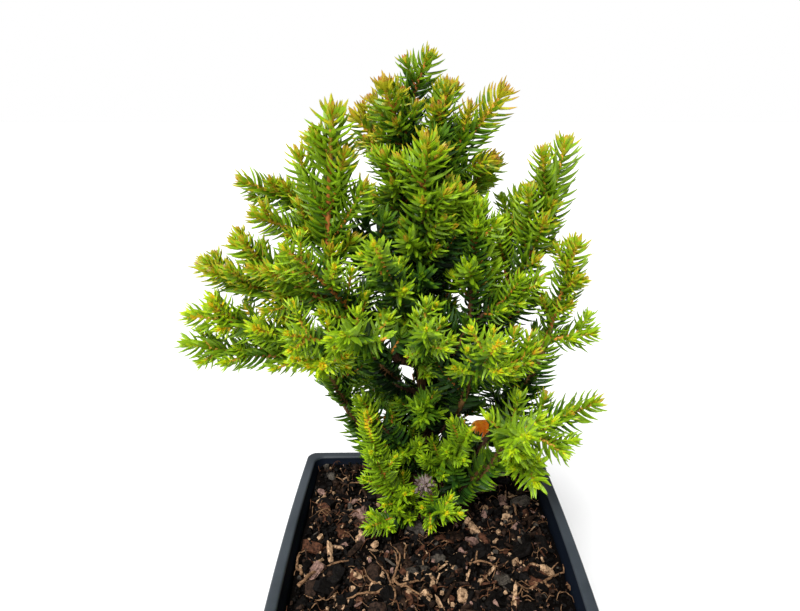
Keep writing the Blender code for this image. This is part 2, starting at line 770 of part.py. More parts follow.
def side_fits(path, owner, stem, others, room):
    """True where a side shoot keeps to its mass's space and clear of every other stick."""
    if unit(path[-1] - path[0])[2] < SIDE_DROOP:
        return False
    own = distance_to_path(path[-1], stem)
    if any(distance_to_path(path[-1], other) < own - SPACE_SLACK for other in others):
        return False
    for start, end in zip(path[1:], path[2:]):
        if inside_ground(end):
            return False
        gaps = room.gaps(start, end, (SIDE_RADIUS, SIDE_RADIUS))
        mine = room.owner[:room.count] == owner
        if np.any(gaps[~mine] < SHOOT_ROOM) or np.any(gaps[mine] < GAP):
            return False
    return True


# ---------------------------------------------------------------- needles

def needle_bids(walls, noise):
    """The needles that a shoot offers: one on each face of a whorl, as base and tip."""
    bids = []
    whorls = len(walls) // 3
    for index, face in enumerate(walls):
        whorl = index // 3
        if whorl < BARE_WHORLS:
            continue
        share = whorl / max(1, whorls - 1)
        base = np.array(face.calc_center_median())
        lower, upper = whorl_middles(walls, whorl)
        onward = unit(upper - lower)
        outward = base - (lower + upper) / 2
        outward = unit(outward - onward * (outward @ onward))
        angle = NEEDLE_ANGLE + (NEEDLE_TIP_ANGLE - NEEDLE_ANGLE) * share ** 2
        lean = math.radians(angle + noise.uniform(-NEEDLE_ANGLE_SCATTER, NEEDLE_ANGLE_SCATTER))
        length = NEEDLE_LENGTH * (1 + (NEEDLE_TIP_SHARE - 1) * share ** 3)
        length *= noise.uniform(*NEEDLE_LENGTH_SCATTER)
        tip = base + (onward * math.cos(lean) + outward * math.sin(lean)) * length
        bids.append((face, base, tip))
    return bids


def whorl_middles(walls, whorl):
    """The middles of the two rings that a whorl's faces lie between."""
    corners = {}
    for face in walls[3 * whorl:3 * whorl + 3]:
        for vert in face.verts:
            corners[vert] = corners.get(vert, 0) + 1
    points = np.array([vert.co for vert in corners])
    tangent = whorl_tangent(walls, whorl)
    order = np.argsort(points @ tangent)
    return points[order[:3]].mean(axis=0), points[order[3:]].mean(axis=0)


def whorl_tangent(walls, whorl):
    """The shoot's direction at a whorl, from the middles of its neighbours."""
    whorls = len(walls) // 3
    below, above = max(0, whorl - 1), min(whorls - 1, whorl + 1)
    middles = []
    for index in (below, above):
        faces = walls[3 * index:3 * index + 3]
        middles.append(np.mean([face.calc_center_median() for face in faces], axis=0))
    return unit(middles[1] - middles[0])


def needle_fits(base, tip, owner, shoot, room, stems):
    """True where a needle is clear of the ground, of every limb and of other needles."""
    if inside_ground(tip):
        return False
    own = distance_to_path(tip, stems[owner])
    for other, path in enumerate(stems):
        if other != owner and distance_to_path(tip, path) < own - NEEDLE_SLACK:
            return False
    gaps = room.gaps(base, tip, (NEEDLE_BASE_RADIUS, 0.0))
    return bool(np.all(gaps[room.owner[:room.count] != shoot] > NEEDLE_AIR))


def grow_needles(shoots, room, stems, noise):
    """Draw needles out of the shoots' faces wherever there is room for them."""
    bids = []
    for shoot, (owner, _, walls) in enumerate(shoots):
        bids += [(owner, shoot, *bid) for bid in needle_bids(walls, noise)]
    noise.shuffle(bids)
    for owner, shoot, face, base, tip in bids:
        if needle_fits(base, tip, owner, shoot, room, stems):
            room.add(base, tip, (NEEDLE_BASE_RADIUS, 0.0), shoot)
            poked = bmesh.ops.poke(shoots[shoot][1], faces=[face])
            poked["verts"][0].co = Vector(tip)


def keep_largest_shell(mesh):
    """Drop loose scraps, and the inner skins of sealed hollows, from a joined mass."""
    shape = bmesh.new()
    shape.from_mesh(mesh)
    bmesh.ops.triangulate(shape, faces=shape.faces)
    waiting = set(shape.faces)
    shells = []
    while waiting:
        shell = {waiting.pop()}
        front = list(shell)
        while front:
            face = front.pop()
            fresh = {near for edge in face.edges for near in edge.link_faces} - shell
            shell |= fresh
            front += fresh
        waiting -= shell
        shells.append(shell)
    shells.sort(key=len)
    for shell in shells[:-1]:
        bmesh.ops.delete(shape, geom=list(shell), context="FACES")
    shape.to_mesh(mesh)
    shape.free()


def limb_room(paths):
    """Room that holds the trunk and the boughs as sticks."""
    room = Room(MOST_STICKS)
    heights = np.linspace(0, TRUNK_HEIGHT, TRUNK_STICKS + 1)
    line = np.array([trunk_point(height) for height in heights])
    room.add_path(line, [trunk_radius(height) for height in heights], LIMB)
    for path in paths.values():
        room.add_path(path, bough_radii(len(path)), LIMB)
    return room


def plan_shoots(paths, limb_ends, noise):
    """Every mass's leading shoot, and its side shoots as path and radii."""
    room = limb_room(paths)
    first = start_headings()
    stems = []
    for owner, row in enumerate(MASSES):
        stem = plan_stem(row, first[row[0]], limb_ends, room)
        room.add_path(stem, stem_radii(len(stem)), owner)
        stems.append(stem)
    sides = [plan_sides(owner, stems, room, noise) for owner in range(len(MASSES))]
    return stems, sides


def sweep_shoots(stems, sides, room):
    """Every shoot as its mass's number, its shape and that shape's walls."""
    shoots = []
    for owner, stem in enumerate(stems):
        for path, radii in [(stem, stem_radii(len(stem))), *sides[owner]]:
            shape, walls = sweep(path, radii, 3, TILT_STEP)
            room.add_path(path, radii, len(shoots))
            shoots.append((owner, shape, walls))
    return shoots


def build_masses(collection, paths, limb_ends):
    """Plan every shoot, grow the needles, and join each mass into one solid."""
    noise = random.Random(SEED)
    stems, sides = plan_shoots(paths, limb_ends, noise)
    room = limb_room(paths)
    shoots = sweep_shoots(stems, sides, room)
    grow_needles(shoots, room, stems, noise)
    return [join_mass(owner, shoots, collection) for owner in range(len(MASSES))]


def join_mass(owner, shoots, collection):
    """One Boolean union of a mass's leading shoot with all its side shoots."""
    name = MASSES[owner][0]
    parts = [shape for part_owner, shape, _ in shoots if part_owner == owner]
    for shape in parts:
        bmesh.ops.triangulate(shape, faces=shape.faces)
    mass = place_mesh(name, mesh_from(parts[0], name), collection)
    group = new_collection(name + "_sides")
    for shape in parts[1:]:
        place_mesh("side_shoot", mesh_from(shape, "side_shoot"), group)
    if len(parts) > 1:
        apply_boolean(mass, "UNION", "MANIFOLD", group=group)
        keep_largest_shell(mass.data)
    for item in list(group.objects):
        mesh = item.data
        bpy.data.objects.remove(item)
        bpy.data.meshes.remove(mesh)
    bpy.data.collections.remove(group)
    return mass


# ---------------------------------------------------------------- the whole plant

def needle_colour(name):
    """A mass's colour: bronze at the top, deep within and behind, lime in front and low down."""
    if "_top_" in name:
        return BRONZE_COLOUR
    if "_back_" in name or "_shade" in name:
        return DEEP_COLOUR
    if "_front" in name or "_foot" in name or "_low" in name or "_star" in name:
        return LIME_COLOUR
    return GREEN_COLOUR


def dress(items, name, colour, roughness):
    """Give each solid its own plain finish."""
    for item in items:
        item.data.materials.clear()
        item.data.materials.append(new_material(f"{name}_{item.name}", colour, roughness))


def build():
    """Make the plant in its pot."""
    clear_scene()
    collection = new_collection(NAME)
    cutters = new_collection("cutters")
    cutters.hide_render = True
    pot = build_pot(collection, cutters)
    soil = build_soil(collection)
    trunk = build_trunk(collection)
    paths = {row[0]: bough_path(*row[1:]) for row in BOUGHS}
    boughs = build_boughs(collection, cutters, paths)
    limb_ends = {name: (path[-1], BOUGH_TIP_RADIUS) for name, path in paths.items()}
    limb_ends["trunk"] = (trunk_point(TRUNK_HEIGHT), TRUNK_TIP_RADIUS)
    masses = build_masses(collection, paths, limb_ends)
    dress([pot], "plastic", POT_COLOUR, 0.45)
    dress([soil], "compost", SOIL_COLOUR, 0.95)
    dress([trunk, *boughs], "bark", BARK_COLOUR, 0.85)
    for mass in masses:
        dress([mass], "leaf", needle_colour(mass.name), 0.55)


build()
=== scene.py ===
"""Dwarf conifer in a square nursery pot: bark, needles, compost and pot as fine surfaces.

The plant grows by the same rule as its solids.  Each mass is a leading shoot with side
shoots, carried here to finer twigs that are clothed in real needles.  Lengths are in
metres and angles in degrees unless a name says otherwise.  A heading of 0 points along
+X and 90 along +Y; a rise is the angle above the level.
"""
import math
import random

import bpy
import numpy as np
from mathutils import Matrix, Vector


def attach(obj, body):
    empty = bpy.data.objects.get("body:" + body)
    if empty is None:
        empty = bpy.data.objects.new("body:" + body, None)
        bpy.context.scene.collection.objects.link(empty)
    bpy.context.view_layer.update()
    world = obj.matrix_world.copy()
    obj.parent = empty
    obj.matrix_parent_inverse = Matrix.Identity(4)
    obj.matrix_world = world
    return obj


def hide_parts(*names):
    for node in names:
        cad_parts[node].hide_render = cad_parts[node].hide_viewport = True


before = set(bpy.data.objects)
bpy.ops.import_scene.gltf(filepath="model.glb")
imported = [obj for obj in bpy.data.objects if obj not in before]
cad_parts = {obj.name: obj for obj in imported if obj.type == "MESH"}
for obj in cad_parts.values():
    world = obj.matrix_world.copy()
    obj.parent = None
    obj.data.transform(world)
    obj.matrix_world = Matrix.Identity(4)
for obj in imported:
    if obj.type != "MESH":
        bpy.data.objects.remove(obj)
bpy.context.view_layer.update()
BODY = "root"
SEED = 11
UP = np.array((0.0, 0.0, 1.0))
NEARLY_UP = np.array((0.01, 0.02, 1.0))  # never in line with a side shoot's stem
TILTED_UP = np.array((0.3, 0.1, 1.0))  # never in line with a mass's leading shoot
GAP = 0.0003

# Pot: a tapered square tub with a collar and a thick lip.
POT_HEIGHT = 0.090
RIM_HALF = 0.045  # half the width over the lip
LIP_WIDTH = 0.0034
LIP_ROUND = 0.0007
LIP_DEPTH = 0.0016  # height of the lip's outer band
LIP_SLOPE = 0.0010  # height of the slope under that band
COLLAR_DEPTH = 0.0085
COLLAR_HALF = 0.0437
COLLAR_EDGE = 0.0008  # height of the slope under the collar
COLLAR_SPREAD = 0.0006  # how much wider the collar is at its top
EDGE_EASE = 0.0002  # how far the collar's and the lip's edges are eased
LEDGE_EASE = 0.0003  # and the ledge inside the lip
SHOULDER_HALF = 0.0419  # just under the collar
LEDGE_DEPTH = 0.0040  # from the top down to the inner wall's full width
BASE_HALF = 0.0325
BASE_ROUND = 0.0012
FLOOR_FILLET = 0.0010
WALL = 0.0016
SIDE_BOW = 0.0007  # how far a side swells between its corners
CORNER_ROUND = 0.0035
DRAIN_RADIUS = 0.0045
DRAIN_OFFSET = 0.018

# Compost
SOIL_TOP = 0.0840
SOIL_FIT = 0.00035  # air between the compost and the pot's wall
SOIL_FOOT_ROUND = 0.0011  # how the compost's foot clears the floor's fillet
SOIL_EDGE_DEPTH = 0.0012  # the surface sinks by this at the wall
SOIL_EDGE = 0.0400  # litter lies within this of the pot's middle

# Trunk
TRUNK_FOOT = np.array((-0.0004, 0.016, SOIL_TOP + GAP))
TRUNK_HEIGHT = 0.1275
TRUNK_LEAN = -0.031  # sideways run for each unit of height
TRUNK_STILL = 0.006  # the lean starts above this height
TRUNK_WAVER = 0.0006
TRUNK_WAVES = 1.5
TRUNK_TAPER_POWER = 0.8  # under 1, most of the taper is low down
TRUNK_FOOT_RADIUS = 0.0026
TRUNK_TIP_RADIUS = 0.0008
ROOT_FLARE = 0.0022
FLARE_HEIGHT = 0.0045
FLARE_POWER = 1.3

# Boughs
BOUGH_FOOT_RADIUS = 0.0016
BOUGH_TIP_RADIUS = 0.0011
BOUGH_RING_SPACING = 0.0080
DOME_RADII = (0.80, 0.35)  # the two rings of a bough's domed tip, as shares of its radius
BOUGH_SAG = 0.16  # how far a bough hangs below its chord, as a share of it

# name, height of the foot above the compost, heading, reach, rise to the tip
BOUGHS = (
    ("bough_left_up", 0.080, 197, 0.021, 0.018),
    ("bough_left_mid", 0.056, 215, 0.033, 0.027),
    ("bough_left_low", 0.010, 198, 0.033, 0.054),
    ("bough_front_left", 0.044, 229, 0.025, 0.028),
    ("bough_right_upper", 0.039, 9, 0.026, 0.042),
    ("bough_right_mid", 0.052, 340, 0.015, 0.020),
    ("bough_right", 0.008, 358, 0.037, 0.057),
    ("bough_right_low", 0.005, 330, 0.030, 0.034),
    ("bough_front_right", 0.030, 305, 0.021, 0.028),
)

# Shoots.  A mass is one leading shoot and its side shoots.
STEM_RADIUS = 0.00085
STEM_ROOT_RADIUS = 0.00050  # where it meets its limb, so that three can share a tip
SIDE_RADIUS = 0.00070
SUNK_RADIUS = 0.00035  # a side shoot's root, buried in the stem's heart
SHOOT_TIP_RADIUS = 0.00025
SHOOT_TAPER = 0.62  # a shoot's last radius before its bud, as a share of the first
RING_SPACING = 0.0029  # between two whorls of needles
STEM_BEND = 0.35  # share of a stem's length that keeps its first heading
FORK_ANGLE = 62  # least angle between stems that leave one tip
FORK_ROUNDS = 200
FORK_PUSH = 0.02
STEEPEST_START = 55  # a stem leaves the trunk no steeper than this
STEM_AIR = 0.00027  # least air round a stem
STEM_TRIES = 60  # bows that a stem tries, each a little wider
STEM_BOW_STEP = 0.00025
SIDE_ANGLE = 48  # of a side shoot from the stem
SIDE_LIFT = 0.22  # upward curl of a side shoot, as a share of its length
SIDE_SHRINK = 0.45  # how much shorter a side shoot is at the stem's tip
SIDE_SCATTER = (0.95, 1.15)  # random share of its length
SIDE_DROOP = -0.20  # least upward part of a side shoot's direction
FIRST_SIDE = 0.14  # where the side shoots start and end on the stem
LAST_SIDE = 0.84
GOLDEN_ANGLE = 137.5
SHOOT_ROOM = 0.0018  # air between two shoots, for their needles
SPACE_SLACK = 0.0020  # how far a shoot may lean into a neighbour's space
TURN_TRIES = 6  # places round the stem that a side shoot tries
TURN_STEP = 47
TRY_SHRINK = 0.06  # each try is this much shorter

NEEDLE_LENGTH = 0.0090
NEEDLE_TIP_SHARE = 0.62  # length of a shoot's last needles
GROUND_AIR = 0.0012  # least height of a shoot or needle over the ground or the lip
WALL_AIR = 0.0015  # and its least distance from the pot's inner wall
MOST_STICKS = 12000
TRUNK_STICKS = 39
LIMB = -1  # owner of the trunk's and boughs' sticks

# For each part of the crown, whose needles are joined to one piece, its masses: name, limb,
# height on the trunk or None for the limb's tip, heading, rise, length, number of side
# shoots, their reach, its palette and the size of its needles.
CROWN_PARTS = {
    "crown": (
        ("top_leader", "trunk", None, 325, 81, 0.0225, 2, 0.008, "bronze", 0.92),
        ("top_left", "trunk", 0.120, 216, 58, 0.026, 4, 0.009, "bronze", 0.92),
        ("top_left_low", "trunk", 0.113, 164, 43, 0.030, 4, 0.010, "bronze", 0.84),
        ("top_right", "trunk", 0.117, 333, 71, 0.0265, 4, 0.009, "bronze", 0.92),
        ("top_right_arm", "trunk", 0.111, 345, 50, 0.038, 3, 0.008, "bronze", 0.92),
    ),
    "upper": (
        ("upper_right", "trunk", 0.101, 18, 36, 0.032, 4, 0.011, "olive", 0.85),
        ("centre_upper", "trunk", 0.088, 273, 64, 0.045, 4, 0.012, "olive", 1.00),
        ("upper_mid_left", "trunk", 0.101, 226, 54, 0.028, 4, 0.010, "olive", 0.92),
        ("upper_mid_right", "trunk", 0.095, 304, 46, 0.028, 4, 0.010, "olive", 0.90),
    ),
    "left_high": (
        ("left_up", "bough_left_up", None, 187, 30, 0.0365, 4, 0.010, "olive", 0.80),
        ("left_up_low", "bough_left_up", None, 204, 18, 0.031, 3, 0.010, "olive", 0.80),
        ("left_leader", "bough_left_mid", None, 310, 83, 0.0535, 5, 0.011, "olive", 1.00),
        ("left_mid", "bough_left_mid", None, 178, 34, 0.032, 4, 0.012, "olive", 0.82),
    ),
    "left_low": (
        ("left_out", "bough_left_mid", None, 169, 13, 0.040, 4, 0.013, "sand", 0.85),
        ("left_low_out", "bough_left_low", None, 180, 4, 0.044, 5, 0.011, "lime", 0.85),
        ("left_low_up", "bough_left_low", None, 188, 20, 0.0425, 4, 0.013, "gold", 0.85),
        ("left_low_front", "bough_left_low", None, 277, 15, 0.0286, 3, 0.012, "gold", 0.74),
    ),
    "front": (
        ("front_left_up", "bough_front_left", None, 215, 51, 0.0404, 4, 0.012, "gold", 0.72),
        ("front_left_out", "bough_front_left", None, 226, 18, 0.0311, 4, 0.013, "gold", 0.68),
        ("front_left_star", "bough_front_left", None, 262, 23, 0.034, 3, 0.012, "lime", 0.74),
        ("front_star_left", "trunk", 0.066, 252, 44, 0.0565, 5, 0.012, "gold", 0.72),
        ("front_stars", "trunk", 0.058, 270, 30, 0.060, 7, 0.013, "lime", 0.62),
    ),
    "right_high": (
        ("right_leader", "bough_right_upper", None, 7, 71, 0.048, 4, 0.010, "olive", 1.00),
        ("right_inner", "bough_right_upper", None, 69, 71, 0.032, 4, 0.011, "lime", 0.85),
        ("right_mid_up", "bough_right_mid", None, 277, 80, 0.040, 4, 0.011, "lime", 0.90),
        ("right_mid_out", "bough_right_mid", None, 7, 33, 0.030, 3, 0.010, "lime", 0.85),
        ("right_out_up", "bough_right", None, 334, 78, 0.035, 4, 0.009, "olive", 0.85),
    ),
    "right_low": (
        ("right_out", "bough_right", None, 343, 16, 0.0166, 2, 0.008, "lime", 0.85),
        ("right_mid_low", "bough_front_right", None, 345, 32, 0.024, 4, 0.011, "olive", 0.90),
        ("right_front_stars", "bough_front_right", None, 278, 40, 0.038, 5, 0.012, "gold", 0.68),
        ("right_low_out", "bough_right_low", None, 6, 22, 0.0295, 2, 0.009, "olive", 0.90),
        ("right_low_edge", "bough_right_low", None, 323, 0, 0.019, 3, 0.009, "lime", 0.84),
        ("right_low_star", "bough_right_low", None, 265, 30, 0.041, 5, 0.012, "lime", 0.82),
        ("right_low_hang", "bough_right_low", None, 279, -9, 0.023, 4, 0.010, "lime", 0.90),
    ),
    "foot": (
        ("foot_left", "trunk", 0.006, 228, 58, 0.054, 5, 0.010, "gold", 0.66),
        ("foot_front_left", "trunk", 0.004, 230, 13, 0.032, 3, 0.010, "lime", 0.62),
        ("foot_front", "trunk", 0.006, 281, 27, 0.035, 3, 0.010, "gold", 0.60),
        ("low_arm", "trunk", 0.018, 296, 46, 0.045, 4, 0.011, "lime", 0.62),
        ("low_shade", "trunk", 0.038, 270, 36, 0.027, 3, 0.011, "green", 0.85),
    ),
    "low": (
        ("low_left", "trunk", 0.022, 180, 68, 0.045, 4, 0.012, "lime", 0.80),
        ("low_left_out", "trunk", 0.020, 224, 50, 0.046, 4, 0.010, "lime", 0.78),
    ),
    "rear_low": (
        ("back_low", "trunk", 0.024, 88, 36, 0.046, 4, 0.013, "green", 0.90),
        ("back_left", "trunk", 0.030, 140, 25, 0.053, 5, 0.014, "lime", 0.90),
        ("back_right", "trunk", 0.034, 42, 38, 0.056, 5, 0.014, "lime", 0.90),
    ),
    "rear_high": (
        ("back_mid", "trunk", 0.054, 92, 42, 0.056, 5, 0.014, "olive", 0.90),
        ("back_left_up", "trunk", 0.070, 122, 50, 0.050, 4, 0.013, "olive", 0.90),
        ("back_right_up", "trunk", 0.064, 58, 50, 0.052, 4, 0.013, "olive", 0.90),
        ("back_upper", "trunk", 0.092, 88, 52, 0.038, 4, 0.012, "olive", 0.90),
    ),
}
MASSES = [(*row[:8], part, *row[8:]) for part, rows in CROWN_PARTS.items() for row in rows]

# Stems that bend: the rise at which they leave their limb. Over 90 they lean back first.
FIRST_RISES = {
    "top_leader": 130,
    "left_leader": 112,
    "right_low_edge": 42,
    "foot_left": 14,
}


def heading_vector(heading, rise):
    """Unit vector of a heading and a rise."""
    turn = math.radians(heading)
    lift = math.radians(rise)
    level = math.cos(lift)
    return np.array((level * math.cos(turn), level * math.sin(turn), math.sin(lift)))


def unit(vector):
    """The vector brought to a length of one."""
    return vector / np.linalg.norm(vector)


def bend(start, middle, end, shares):
    """Points of a quadratic curve from start to end, pulled towards middle."""
    share = np.asarray(shares)[:, None]
    return (1 - share) ** 2 * start + 2 * share * (1 - share) * middle + share ** 2 * end


def outer_half(height):
    """Half the pot's outer width below the collar."""
    share = height / (POT_HEIGHT - COLLAR_DEPTH)
    return BASE_HALF + (SHOULDER_HALF - BASE_HALF) * share


def inner_half(height):
    """Half the pot's inner width, one wall inside the outer face."""
    return outer_half(min(height, POT_HEIGHT - COLLAR_DEPTH)) - WALL


def bow_at(height):
    """The sides swell most at the lip and not at all at the foot."""
    return SIDE_BOW * height / POT_HEIGHT


def trunk_point(height):
    """The trunk's middle at a height above its foot: a lean with a slow waver."""
    eased = max(0.0, height - TRUNK_STILL)
    waver = TRUNK_WAVER * math.sin(eased / TRUNK_HEIGHT * TRUNK_WAVES * 2 * math.pi)
    return TRUNK_FOOT + np.array((TRUNK_LEAN * eased + waver, 0.5 * waver, height))


def trunk_radius(height):
    """The trunk's radius: a taper to the tip, with a flare at the root."""
    share = (height / TRUNK_HEIGHT) ** TRUNK_TAPER_POWER
    taper = TRUNK_FOOT_RADIUS + (TRUNK_TIP_RADIUS - TRUNK_FOOT_RADIUS) * share
    return taper + ROOT_FLARE * math.exp(-(height / FLARE_HEIGHT) ** FLARE_POWER)


def bough_path(foot_height, heading, reach, rise):
    """A bough's middle line from the trunk's heart to its tip, hanging under its chord."""
    foot = trunk_point(foot_height)
    level = heading_vector(heading, 0)
    tip = foot + level * reach + UP * rise
    chord = math.hypot(reach, rise)
    across = unit(np.cross(np.cross(level, UP), tip - foot))
    sag = across if across[2] < 0 else -across
    middle = (foot + tip) / 2 + sag * BOUGH_SAG * chord
    rings = max(5, round(chord / BOUGH_RING_SPACING))
    return bend(foot, middle, tip, np.linspace(0, 1, rings + 1))


# ---- room between shoots

class Room:
    """Round sticks that are already in place, each a tapered piece with an owner."""

    def __init__(self, most):
        """Empty room for so many sticks at most."""
        self.start = np.zeros((most, 3))
        self.end = np.zeros((most, 3))
        self.radius = np.zeros((most, 2))
        self.owner = np.full(most, -1)
        self.count = 0

    def add(self, start, end, radii, owner):
        """Put one stick in place."""
        self.start[self.count] = start
        self.end[self.count] = end
        self.radius[self.count] = radii
        self.owner[self.count] = owner
        self.count += 1

    def add_path(self, path, radii, owner):
        """Put a chain of sticks in place."""
        for index in range(len(path) - 1):
            self.add(path[index], path[index + 1], radii[index:index + 2], owner)

    def gaps(self, start, end, radii):
        """Air between a new stick and each one in place, by the nearest points of both."""
        used = slice(0, self.count)
        along = end - start
        others = self.end[used] - self.start[used]
        apart = start - self.start[used]
        own = along @ along
        theirs = np.einsum("ij,ij->i", others, others) + 1e-15
        mixed = others @ along
        lead = apart @ along
        follow = np.einsum("ij,ij->i", others, apart)
        spread = own * theirs - mixed ** 2
        share = np.clip((mixed * follow - lead * theirs) / np.maximum(spread, 1e-18), 0, 1)
        other = np.clip((mixed * share + follow) / theirs, 0, 1)
        share = np.clip((mixed * other - lead) / own, 0, 1)
        nearest = apart + share[:, None] * along - other[:, None] * others
        distance = np.linalg.norm(nearest, axis=1)
        mine = radii[0] + (radii[1] - radii[0]) * share
        width = self.radius[used]
        return distance - mine - width[:, 0] - (width[:, 1] - width[:, 0]) * other


def inside_ground(point):
    """True where a point is in the compost, in the pot's wall or too close to them."""
    opening = inner_half(POT_HEIGHT) - WALL_AIR
    if max(abs(point[0]), abs(point[1])) < opening:
        return point[2] < SOIL_TOP + GROUND_AIR
    return point[2] < POT_HEIGHT + GROUND_AIR


def distance_to_path(point, path):
    """Shortest distance from a point to a chain of sticks."""
    start = path[:-1]
    along = path[1:] - start
    share = np.einsum("ij,ij->i", point - start, along) / np.einsum("ij,ij->i", along, along)
    nearest = start + np.clip(share, 0, 1)[:, None] * along
    return np.linalg.norm(point - nearest, axis=1).min()


# ---- planning the shoots

def spread_apart(directions):
    """Turn directions away from each other until they are a fork angle apart."""
    directions = [unit(direction) for direction in directions]
    least = math.cos(math.radians(FORK_ANGLE))
    for _ in range(FORK_ROUNDS):
        for first in range(len(directions)):
            for second in range(first + 1, len(directions)):
                a, b = directions[first], directions[second]
                if a @ b > least:
                    push = unit(a - b) * FORK_PUSH
                    directions[first] = unit(a + push)
                    directions[second] = unit(b - push)
    return directions


def start_headings():
    """The first heading of every mass's stem, spread apart where stems share a tip."""
    first = {}
    for limb in dict.fromkeys(row[1] for row in MASSES if row[2] is None):
        rows = [row for row in MASSES if row[1] == limb and row[2] is None]
        wanted = [heading_vector(row[3], FIRST_RISES.get(row[0], row[4])) for row in rows]
        for row, direction in zip(rows, spread_apart(wanted)):
            first[row[0]] = direction
    for row in MASSES:
        if row[2] is not None:
            rise = FIRST_RISES.get(row[0], min(row[4], STEEPEST_START))
            first[row[0]] = heading_vector(row[3], rise)
    return first


def stem_start(row, direction, limb_ends):
    """Where a mass's stem begins, a gap away from its limb."""
    limb, height = row[1:3]
    if height is None:
        end, radius = limb_ends[limb]
        return end + direction * (radius + GAP)
    slope = direction[2] / math.hypot(direction[0], direction[1])
    level = unit(np.array((direction[0], direction[1], 0.0)))
    clear = trunk_radius(height) + GAP + STEM_RADIUS * math.sin(math.atan(slope))
    return trunk_point(height) + level * clear


def plan_stem(row, direction, limb_ends, room):
    """A mass's leading shoot: the straightest one that clears what is in place."""
    limb, height, heading, rise, length = row[1:6]
    base = trunk_point(height) if height is not None else limb_ends[limb][0]
    start = stem_start(row, direction, limb_ends)
    tip = base + heading_vector(heading, rise) * (length - 0.5 * NEEDLE_TIP_SHARE * NEEDLE_LENGTH)
    middle = start + direction * STEM_BEND * np.linalg.norm(tip - start)
    across = unit(np.cross(tip - start, TILTED_UP))
    over = unit(np.cross(across, tip - start))
    shares = np.linspace(0, 1, max(3, round(length / RING_SPACING)) + 1)
    for attempt in range(STEM_TRIES):
        turn = math.radians(attempt * GOLDEN_ANGLE)
        bow = (across * math.cos(turn) + over * math.sin(turn)) * attempt * STEM_BOW_STEP
        path = bend(start, middle + bow, tip, shares)
        radii = [0.0] + stem_radii(len(path))[1:]
        sticks = zip(path, path[1:], radii, radii[1:])
        if all(room.gaps(a, b, (c, d)).min() > STEM_AIR for a, b, c, d in sticks):
            break
    return path


def stem_radii(count):
    """Radii along a mass's leading shoot, thin where it meets its limb."""
    return [STEM_ROOT_RADIUS] + shoot_radii(count - 1, STEM_RADIUS)


def shoot_radii(count, first):
    """Radii along a shoot, ending in a fine bud."""
    radii = list(np.linspace(first, first * SHOOT_TAPER, count))
    radii[-1] = SHOOT_TIP_RADIUS
    return radii


def side_path(stem, share, turn, length):
    """A side shoot: it leaves the stem at the side angle and curls up."""
    place = share * (len(stem) - 1)
    index = min(int(place), len(stem) - 2)
    root = stem[index] + (stem[index + 1] - stem[index]) * (place - index)
    onward = unit(stem[index + 1] - stem[index])
    across = unit(np.cross(onward, NEARLY_UP))
    over = np.cross(across, onward)
    sideways = across * math.cos(turn) + over * math.sin(turn)
    angle = math.radians(SIDE_ANGLE)
    direction = onward * math.cos(angle) + sideways * math.sin(angle)
    middle = root + direction * length * 0.5
    end = root + direction * length + UP * length * SIDE_LIFT
    whorls = max(3, round(length / RING_SPACING))
    return bend(root, middle, end, np.linspace(0, 1, whorls + 1))


def try_sides(stem, count, longest, places, scatter, dice, fits):
    """Side shoots of one stem, one after another: each takes the first free place round it.

    The places are where they start on the stem and the share of it that they stand on.
    """
    first, span = places
    turn = dice.uniform(0, 360)
    for index in range(count):
        share = first + span * (index + 0.5) / count
        reach = longest * (1 - SIDE_SHRINK * share) * dice.uniform(*scatter)
        turn += GOLDEN_ANGLE
        for attempt in range(TURN_TRIES):
            angle = math.radians(turn + attempt * TURN_STEP)
            path = side_path(stem, share, angle, reach * (1 - TRY_SHRINK * attempt))
            if fits(path):
                yield path
                break


def plan_sides(owner, stems, room, noise):
    """Side shoots of one mass, each with its radii."""
    count, longest = MASSES[owner][6:8]
    stem = stems[owner]
    others = [path for other, path in enumerate(stems) if other != owner]
    places = (FIRST_SIDE, LAST_SIDE - FIRST_SIDE)
    sides = []
    for path in try_sides(stem, count, longest, places, SIDE_SCATTER, noise,
                          lambda path: side_fits(path, owner, stem, others, room)):
        radii = [SUNK_RADIUS] + shoot_radii(len(path) - 1, SIDE_RADIUS)
        room.add_path(path[1:], radii[1:], owner)
        sides.append((path, radii))
    return sides


def side_fits(path, owner, stem, others, room):
    """True where a side shoot keeps to its mass's space and clear of every other stick."""
    if unit(path[-1] - path[0])[2] < SIDE_DROOP:
        return False
    own = distance_to_path(path[-1], stem)
    if any(distance_to_path(path[-1], other) < own - SPACE_SLACK for other in others):
        return False
    for start, end in zip(path[1:], path[2:]):
        if inside_ground(end):
            return False
        gaps = room.gaps(start, end, (SIDE_RADIUS, SIDE_RADIUS))
        mine = room.owner[:room.count] == owner
        if np.any(gaps[~mine] < SHOOT_ROOM) or np.any(gaps[mine] < GAP):
            return False
    return True


def bough_radii(count):
    """A bough's radii: an even taper, closed by a small dome."""
    body = list(np.linspace(BOUGH_FOOT_RADIUS, BOUGH_TIP_RADIUS, count))
    return body + [BOUGH_TIP_RADIUS * share for share in DOME_RADII]


def limb_room(paths):
    """Room that holds the trunk and the boughs as sticks."""
    room = Room(MOST_STICKS)
    heights = np.linspace(0, TRUNK_HEIGHT, TRUNK_STICKS + 1)
    line = np.array([trunk_point(height) for height in heights])
    room.add_path(line, [trunk_radius(height) for height in heights], LIMB)
    for path in paths.values():
        room.add_path(path, bough_radii(len(path)), LIMB)
    return room


def plan_shoots(paths, limb_ends, noise):
    """Every mass's leading shoot, and its side shoots as path and radii."""
    room = limb_room(paths)
    first = start_headings()
    stems = []
    for owner, row in enumerate(MASSES):
        stem = plan_stem(row, first[row[0]], limb_ends, room)
        room.add_path(stem, stem_radii(len(stem)), owner)
        stems.append(stem)
    sides = [plan_sides(owner, stems, room, noise) for owner in range(len(MASSES))]
    return stems, sides


# ---- surfaces in general

